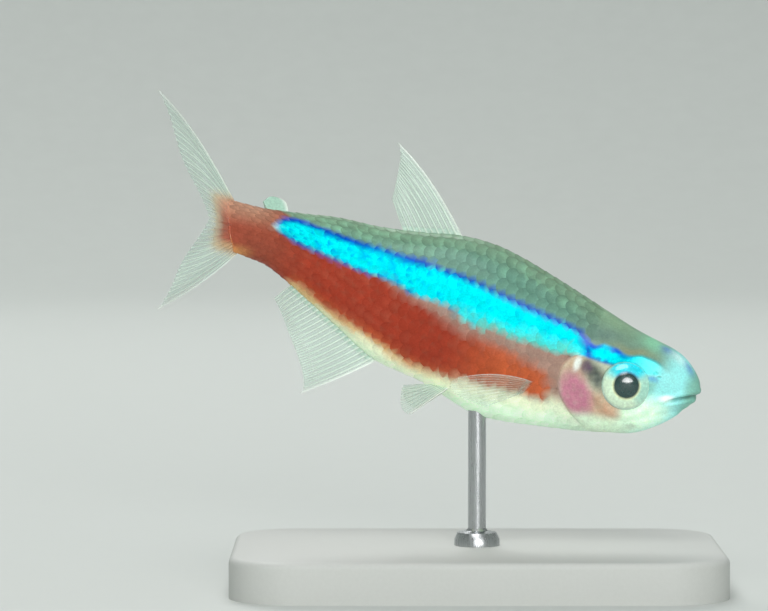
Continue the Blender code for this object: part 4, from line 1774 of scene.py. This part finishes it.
@dataclass(frozen=True)
class FinStain:
    """Red and amber of the tail base, which run out over the roots of the caudal fin; the salmon of the upper
    half is partly a painted highlight.
    """

    waver: float = 0.006
    waver_rate: float = 55.0
    red_end: Step = Step(1.005, 1.050)
    red_level: Step = Step(0.040, 0.060)
    amber_end: Step = Step(1.030, 1.070)
    amber_level: Step = Step(0.044, 0.070)
    upper_half: Step = Step(0.0, 0.050)
    lower_edge: Step = Step(0.026, 0.042)
    cover: float = 0.95
    amber_cover: float = 0.6
    red: Colour = srgb(182, 98, 74)
    # Salmon that carries the stem's pinker top onto the fin: partly its own colour, partly a painted
    # highlight.
    salmon_and_sheen: Paint = Paint(srgb(220, 166, 138))
    amber: Paint = Paint(srgb(216, 196, 150))
    amber_edge: Paint = Paint(amber.colour, 0.6)

    def over(self, tint: Array, cover: Array, points: Array, waves: Array) -> tuple[Array, Array]:
        """Lay the stain over a fin.

        Args:
            tint: Linear colours of the fin, one row each.
            cover: How solid the fin is at each point.
            points: Drawing points of the fin.
            waves: Unevenness of the stain's end at each point.

        Returns:
            Colours and covers with the stain.
        """
        station, height = points[:, 0] + self.waver * waves, points[:, 2]
        level = np.abs(height)
        amber = self.amber_end.down(station) * self.amber_level.down(level)
        red = self.red_end.down(station) * self.red_level.down(level)
        tint = self.amber.over(tint, amber)
        warm = self.salmon_and_sheen.over(np.array(self.red), self.upper_half.up(height))
        warm = self.amber_edge.over(warm, self.lower_edge.up(-height))
        stained = np.maximum(red, self.amber_cover * amber)
        return mix(tint, warm, red[:, None]), np.maximum(cover, self.cover * stained)


@dataclass(frozen=True)
class Fin:
    """A fin between its first and last rays: roots on the skin, rays from root to tip."""

    node: str
    rays: int
    root_line: RootLine
    first_root: tuple[float, float, float]
    last_root: tuple[float, float, float]
    first_ray: tuple[float, float, float]
    last_ray: tuple[float, float, float]
    bow: tuple[float, float, float] = (0.0, 0.0, 0.0)
    fall: float = 1.0
    fullness: float = 0.0
    sink: float = 0.014
    rows: int = 44
    columns_per_ray: int = 14
    ridged: bool = True
    plain_rays: int = 2
    plain_widening: float = 1.4
    ray_widths: tuple[float, float] = (0.17, 0.085)
    fork_spread: float = 0.25
    fork_start: float = 0.42
    ray_thickness: float = 0.00013
    membrane_share: float = 0.30
    wall_thins: Step = Step(0.3, 1.0)
    wall_thinning: float = 0.6
    ripple: float = 0.0045
    ripple_across: float = 1.3
    ripple_along: float = 0.45
    ripple_start: float = 0.8
    notch: float = 0.014
    notch_power: float = 6.0
    root_cover: float = 0.90
    root_band: Step = Step(0.0, 0.018)
    lead_cover: float = 0.75
    lead_fading: float = 0.3
    lead_width: float = 0.6
    membrane_cover: float = 0.30
    ray_cover: float = 0.66
    cover_fading: float = 0.25
    glass: Colour = srgb(176, 206, 190)
    ray_pale: Paint = Paint(srgb(220, 236, 222))
    lead_pale: Paint = Paint(srgb(238, 246, 238))
    stain: FinStain | None = None

    def root(self, across: Array) -> Array:
        """Root points of the fin in the drawing.

        Args:
            across: Shares from the first ray to the last.

        Returns:
            Stations, sides and heights, one row each.
        """
        points = mix(np.array(self.first_root), np.array(self.last_root), across[:, None])
        if self.root_line is not RootLine.FREE:
            points[:, 2] = self.root_line.height(points[:, 0])
        return points

    def ridge(self, across: Array, along: Array) -> Array:
        """Share of a ray at each point: 1 on a ray, which forks in its outer half, and 0 on the membrane.

        Args:
            across: Shares from the first ray to the last.
            along: Shares from the sunk root to the tip.

        Returns:
            Shares from 0 to 1.
        """
        spot = across * (self.rays - 1)
        ray = np.round(spot)
        plain = ray < self.plain_rays
        fork = np.where(plain, 0.0, self.fork_spread * ease(self.fork_start, 1.0, along))
        width = mix(*self.ray_widths, along) * np.where(plain, self.plain_widening, 1.0)
        return hump(np.abs(spot - ray) - fork, width) * float(self.ridged)

    def ray(self, across: Array) -> Array:
        """Ray from root to tip at each share of the way across, one row each."""
        straight = mix(np.array(self.first_ray), np.array(self.last_ray), (across**self.fall)[:, None])
        return straight * (1.0 + self.fullness * np.sin(math.pi * across))[:, None]

    def reach(self, across: Array, along: Array) -> Array:
        """How far each point stands out from the root, in body lengths."""
        return along * (np.linalg.norm(self.ray(across), axis=1) + self.sink) - self.sink

    def drawn(self, across: Array, along: Array, ridge: Array, mirror: float) -> Array:
        """Drawing points of the fin.

        Args:
            across: Shares from the first ray to the last.
            along: Shares from the sunk root to the tip.
            ridge: Share of a ray at each point.
            mirror: -1 for the right fin of a pair, otherwise 1.

        Returns:
            Station, side and height of each point.
        """
        ray = self.ray(across)
        bow = np.array(self.bow) * (1.0 - across)[:, None]
        share = self.reach(across, along) / np.linalg.norm(ray, axis=1)
        share = share * (1.0 - self.notch * (1.0 - ridge) * along**self.notch_power)
        bowed = bow * (4.0 * np.maximum(share, 0.0) * (1.0 - share))[:, None]
        points = self.root(across) + ray * share[:, None] + bowed
        phase = 2 * math.pi * (self.ripple_across * across + self.ripple_along * share) + self.ripple_start
        points[:, 1] += self.ripple * np.clip(share, 0.0, 1.0) * np.sin(phase)
        points[:, 1] *= mirror
        return points

    def dress(self, across: Array, along: Array, ridge: Array, points: Array) -> tuple[Array, Array]:
        """Colour and cover of the fin's points.

        Args:
            across: Shares from the first ray to the last.
            along: Shares from the sunk root to the tip.
            ridge: Share of a ray at each point.
            points: Drawing points of the fin.

        Returns:
            Linear colours, one row each, and how solid the fin is at each point.
        """
        lead = hump(across, self.lead_width / self.rays)
        tint = self.lead_pale.over(self.ray_pale.over(np.array(self.glass), ridge), lead)
        cover = mix(self.membrane_cover, self.ray_cover, ridge) * (1.0 - self.cover_fading * along)
        cover = np.maximum(cover, self.lead_cover * lead * (1.0 - self.lead_fading * along))
        cover = np.maximum(cover, self.root_cover * self.root_band.down(self.reach(across, along)))
        if self.stain is None:
            return tint, cover
        return self.stain.over(tint, cover, points, np.sin(across * self.stain.waver_rate) * ridge)

    def build(self, material: bpy.types.Material, mirror: float = 1.0, word: str = "") -> bpy.types.Object:
        """Build the fin as a thin sheet with raised, forked rays.

        Args:
            material: Shared material of the fins.
            mirror: -1 for the right fin of a pair, otherwise 1.
            word: Side of a paired fin.

        Returns:
            The fin.
        """
        columns = self.columns_per_ray * (self.rays - 1)
        shape = bmesh.new()
        bmesh.ops.create_grid(shape, x_segments=columns, y_segments=self.rows, size=0.5)
        spots = np.clip(coordinates(shape) + 0.5, 0.0, 1.0)
        across, along = spots[:, 0], spots[:, 1]
        ridge = self.ridge(across, along)
        points = self.drawn(across, along, ridge, mirror)
        move(shape, FORM.place(*points.T))
        layer = shape.verts.layers.deform.verify()
        wall = mix(self.membrane_share, 1.0, ridge) * (1.0 - self.wall_thinning * self.wall_thins.up(along))
        for vert, weight in zip(shape.verts, wall):
            vert[layer][0] = float(weight)
        bmesh.ops.triangulate(shape, faces=shape.faces[:])
        colours, cover = self.dress(across, along, ridge, points)
        node = self.node + word
        piece = Piece(f"{node}_sheet", shape, material, "fin", (node,)).make(colours, cover=cover)
        piece.vertex_groups.new(name="wall")
        walls = piece.modifiers.new("wall", "SOLIDIFY")
        walls.thickness = self.ray_thickness
        walls.offset = 0.0
        walls.vertex_group = "wall"
        return piece


class FinSet(Enum):
    """All fins of the fish, the paired ones drawn on the left."""

    DORSAL = Fin(
        "dorsal_fin", 11, RootLine.BACK, (0.527, 0.0, 0.0), (0.637, 0.0, 0.0), (0.173, 0.0, 0.128),
        (0.040, 0.0, 0.050), bow=(0.0, 0.0, 0.011), fall=0.85,
    )
    ADIPOSE = Fin(
        "adipose_fin", 5, RootLine.BACK, (0.860, 0.0, 0.0), (0.904, 0.0, 0.0), (0.019, 0.0, 0.020),
        (0.008, 0.0, 0.013), bow=(-0.002, 0.0, 0.006), fullness=0.34, ray_thickness=0.00034,
        membrane_share=0.9, ripple=0.0, notch=0.0, rows=20, membrane_cover=0.94, ray_cover=0.94,
        ridged=False, glass=srgb(176, 216, 196),
    )
    ANAL = Fin(
        "anal_fin", 22, RootLine.BELLY, (0.602, 0.0, 0.0), (0.815, 0.0, 0.0), (0.125, 0.0, -0.106),
        (0.035, 0.0, -0.035), bow=(0.0, 0.0, -0.006), fall=0.65,
    )
    CAUDAL_UPPER = Fin(
        "caudal_fin_upper", 11, RootLine.FREE, (0.975, 0.0, 0.042), (0.966, 0.0, 0.0), (0.240, 0.0, 0.174),
        (0.100, 0.0, 0.0), bow=(0.0, 0.0, 0.025), sink=0.026, stain=FinStain(),
    )
    CAUDAL_LOWER = Fin(
        "caudal_fin_lower", 11, RootLine.FREE, (0.960, 0.0, -0.042), (0.966, 0.0, 0.0),
        (0.248, 0.020, -0.148), (0.100, 0.0, 0.0), bow=(0.0, 0.0, -0.010), sink=0.026, stain=FinStain(),
    )
    PECTORAL = Fin(
        "pectoral_fin", 11, RootLine.FREE, (0.306, 0.062, -0.092), (0.318, 0.056, -0.122),
        (0.132, 0.048, -0.040), (0.050, 0.020, -0.045), bow=(0.0, 0.004, 0.010), fall=1.3, fullness=0.24,
        membrane_cover=0.10, ray_cover=0.32, root_cover=0.30, lead_cover=0.34,
    )
    PELVIC = Fin(
        "pelvic_fin", 8, RootLine.FREE, (0.452, 0.030, -0.160), (0.478, 0.012, -0.162),
        (0.050, 0.080, -0.066), (0.060, 0.036, -0.026), fall=1.3, fullness=0.14,
    )

    def build(self, material: bpy.types.Material) -> None:
        """Build the fin, on both sides where the fish has a pair.

        Args:
            material: Shared material of the fins.
        """
        if self in (FinSet.PECTORAL, FinSet.PELVIC):
            for flank in Flank:
                self.value.build(material, flank.sideways, f"_{flank.word}")
        else:
            self.value.build(material)


def turned(profile: list[tuple[float, float]], steps: int) -> bmesh.types.BMesh:
    """Shape turned round the upright axis.

    Args:
        profile: Radii and heights along its outline.
        steps: Faces round the turn.

    Returns:
        The shape, its ends merged on the axis.
    """
    shape = bmesh.new()
    verts = [shape.verts.new((radius, 0.0, height)) for radius, height in profile]
    edges = [shape.edges.new(pair) for pair in zip(verts, verts[1:])]
    bmesh.ops.spin(
        shape, geom=verts + edges, axis=(0.0, 0.0, 1.0), cent=(0.0, 0.0, 0.0), angle=2 * math.pi,
        steps=steps, use_merge=True,
    )
    bmesh.ops.remove_doubles(shape, verts=shape.verts[:], dist=MERGE_DISTANCE)
    return shape


@dataclass
class Stand:
    """Flat base with rounded corners and a turned rod with a ferrule, in the solids' sizes."""

    base_size: tuple[float, float, float] = (0.030, 0.020, 0.0025)
    base_corner: float = 0.004
    base_corner_segments: int = 20
    base_edge: float = 0.0004
    base_edge_segments: int = 5
    rod_radius: float = 0.00055
    rod_top: float = 0.0108
    ferrule_radius: float = 0.0014
    ferrule_height: float = 0.0009
    ferrule_wall: float = 0.00035
    ferrule_shoulder: float = 0.85
    ferrule_neck: float = 1.25
    shoulder_drop: float = 0.0001
    neck_rise: float = 0.00015
    turn_steps: int = 48

    def base(self) -> bpy.types.Object:
        """Build the base.

        Returns:
            The base.
        """
        shape = bmesh.new()
        bmesh.ops.create_cube(shape, size=1.0)
        bmesh.ops.scale(shape, vec=self.base_size, verts=shape.verts[:])
        middle = self.base_size[2] / 2
        bmesh.ops.translate(shape, vec=(0.0, 0.0, middle), verts=shape.verts[:])
        upright = [edge for edge in shape.edges if abs(edge.verts[0].co.z - edge.verts[1].co.z) > middle]
        bmesh.ops.bevel(
            shape, geom=upright, offset=self.base_corner, segments=self.base_corner_segments, profile=0.5,
            affect="EDGES", material=-1,
        )
        rim = [edge for edge in shape.edges if min(vert.co.z for vert in edge.verts) > middle]
        bmesh.ops.bevel(
            shape, geom=rim, offset=self.base_edge, segments=self.base_edge_segments, profile=0.5,
            affect="EDGES", material=-1,
        )
        face_outwards(shape)
        material = ACRYLIC.material("satin_acrylic")
        return Piece("base_plate", shape, material, "stand_base", ("stand_base",), crease=40.0).make()

    def rod(self) -> bpy.types.Object:
        """Build the rod, its top inside the belly's skin.

        Returns:
            The rod.
        """
        foot = self.base_size[2]
        collar = foot + self.ferrule_height
        shape = turned([
            (0.0, foot),
            (self.ferrule_radius, foot),
            (self.ferrule_radius, foot + self.ferrule_wall),
            (self.ferrule_radius * self.ferrule_shoulder, collar - self.shoulder_drop),
            (self.rod_radius * self.ferrule_neck, collar),
            (self.rod_radius, collar + self.neck_rise),
            (self.rod_radius, self.rod_top),
            (0.0, self.rod_top),
        ], self.turn_steps)
        face_outwards(shape)
        material = STEEL.material("drawn_steel")
        return Piece("rod_turned", shape, material, "stand_rod", ("stand_rod",), crease=30.0).make()


@dataclass(frozen=True)
class Lamp:
    """Round area light that looks at the fish."""

    name: str
    place: tuple[float, float, float]
    size: float
    power: float
    fan: float = math.pi
    aim: tuple[float, float, float] = (0.0, 0.0, 0.018)

    def build(self) -> None:
        """Set up the light, hidden from the camera."""
        lamp = bpy.data.lights.new(self.name, "AREA")
        lamp.shape = "DISK"
        lamp.size = self.size
        lamp.energy = self.power
        lamp.spread = self.fan
        light = bpy.data.objects.new(self.name, lamp)
        light.visible_camera = False
        light.location = self.place
        light.rotation_euler = (Vector(self.place) - Vector(self.aim)).to_track_quat("Z", "Y").to_euler()
        bpy.context.scene.collection.objects.link(light)


@dataclass
class Studio:
    """Floor that sweeps up on every side, soft lights and the camera at the photograph's angle."""

    pixels: tuple[int, int] = (768, 611)
    pixels_per_metre: float = 16470.0
    snout_pixel: tuple[float, float] = (700.0, 392.0)
    snout_height: float = -0.005
    distance: float = 0.25
    elevation: float = math.radians(3.0)
    sensor: float = 36.0
    nearest: float = 0.01
    floor_radius: float = 0.36
    sweep_radius: float = 0.24
    wall_height: float = 0.75
    floor_segments: int = 96
    sweep_segments: int = 24
    sky: tuple[float, float, float, float] = (0.86, 0.92, 0.95, 1.0)
    sky_strength: float = 0.45
    lamps: tuple[Lamp, ...] = (
        Lamp("key", (-0.05, -0.32, 0.40), 0.32, 1.1),
        Lamp("front", (0.08, -0.52, 0.05), 0.34, 0.60, math.radians(70.0)),
        Lamp("rim", (-0.05, 0.30, 0.38), 0.28, 1.2),
    )

    def floor(self) -> None:
        """Build the pale round floor, with a wide sweep up to a wall all round."""
        profile = [(0.0, 0.0)]
        for step in range(self.sweep_segments + 1):
            turn = math.pi / 2 * step / self.sweep_segments
            out = self.floor_radius + self.sweep_radius * math.sin(turn)
            profile.append((out, self.sweep_radius * (1.0 - math.cos(turn))))
        profile.append((self.floor_radius + self.sweep_radius, self.wall_height))
        shape = turned(profile, self.floor_segments)
        bmesh.ops.recalc_face_normals(shape, faces=shape.faces[:])
        mesh = bpy.data.meshes.new("floor")
        shape.to_mesh(mesh)
        shape.free()
        mesh.shade_smooth()
        mesh.materials.append(FLOOR.material("pale_floor"))
        floor = bpy.data.objects.new("floor", mesh)
        bpy.context.scene.collection.objects.link(floor)

    def camera(self) -> None:
        """Set up the camera, which shows the fish where the photograph does."""
        wide, tall = self.pixels
        across = (self.snout_pixel[0] - wide / 2) / self.pixels_per_metre
        down = (self.snout_pixel[1] - tall / 2) / self.pixels_per_metre
        target = FORM.point(0.0, 0.0, self.snout_height) - Vector((across, 0.0, -down))
        lens = bpy.data.cameras.new("camera")
        lens.sensor_width = self.sensor
        lens.lens = self.sensor * self.distance / (wide / self.pixels_per_metre)
        lens.clip_start = self.nearest
        camera = bpy.data.objects.new("camera", lens)
        back = Vector((0.0, -math.cos(self.elevation), math.sin(self.elevation)))
        camera.location = target + back * self.distance
        camera.rotation_euler = (math.pi / 2 - self.elevation, 0.0, 0.0)
        bpy.context.scene.collection.objects.link(camera)
        bpy.context.scene.camera = camera

    def build(self) -> None:
        """Set up floor, lights, world and camera."""
        self.floor()
        for lamp in self.lamps:
            lamp.build()
        world = bpy.data.worlds.new("studio")
        world.use_nodes = True
        background = world.node_tree.nodes["Background"]
        background.inputs["Color"].default_value = self.sky
        background.inputs["Strength"].default_value = self.sky_strength
        bpy.context.scene.world = world
        bpy.context.scene.view_settings.view_transform = "Standard"
        self.camera()
        log.info("studio: floor, %d lights and camera", len(self.lamps))


def main() -> None:
    """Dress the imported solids."""
    logging.basicConfig(level=logging.INFO, format="%(name)s %(message)s")
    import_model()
    Skin().build()
    coat = ScaleCoat()
    eye = Eye()
    eye_glass = eye.finish.material("eye_glass")
    for flank in Flank:
        coat.build(flank)
        eye.build(flank, eye_glass)
    membrane = FinFinish().material("fin_membrane")
    for fin in FinSet:
        fin.build(membrane)
    stand = Stand()
    stand.base()
    stand.rod()
    Studio().build()


if __name__ == "__main__":
    main()
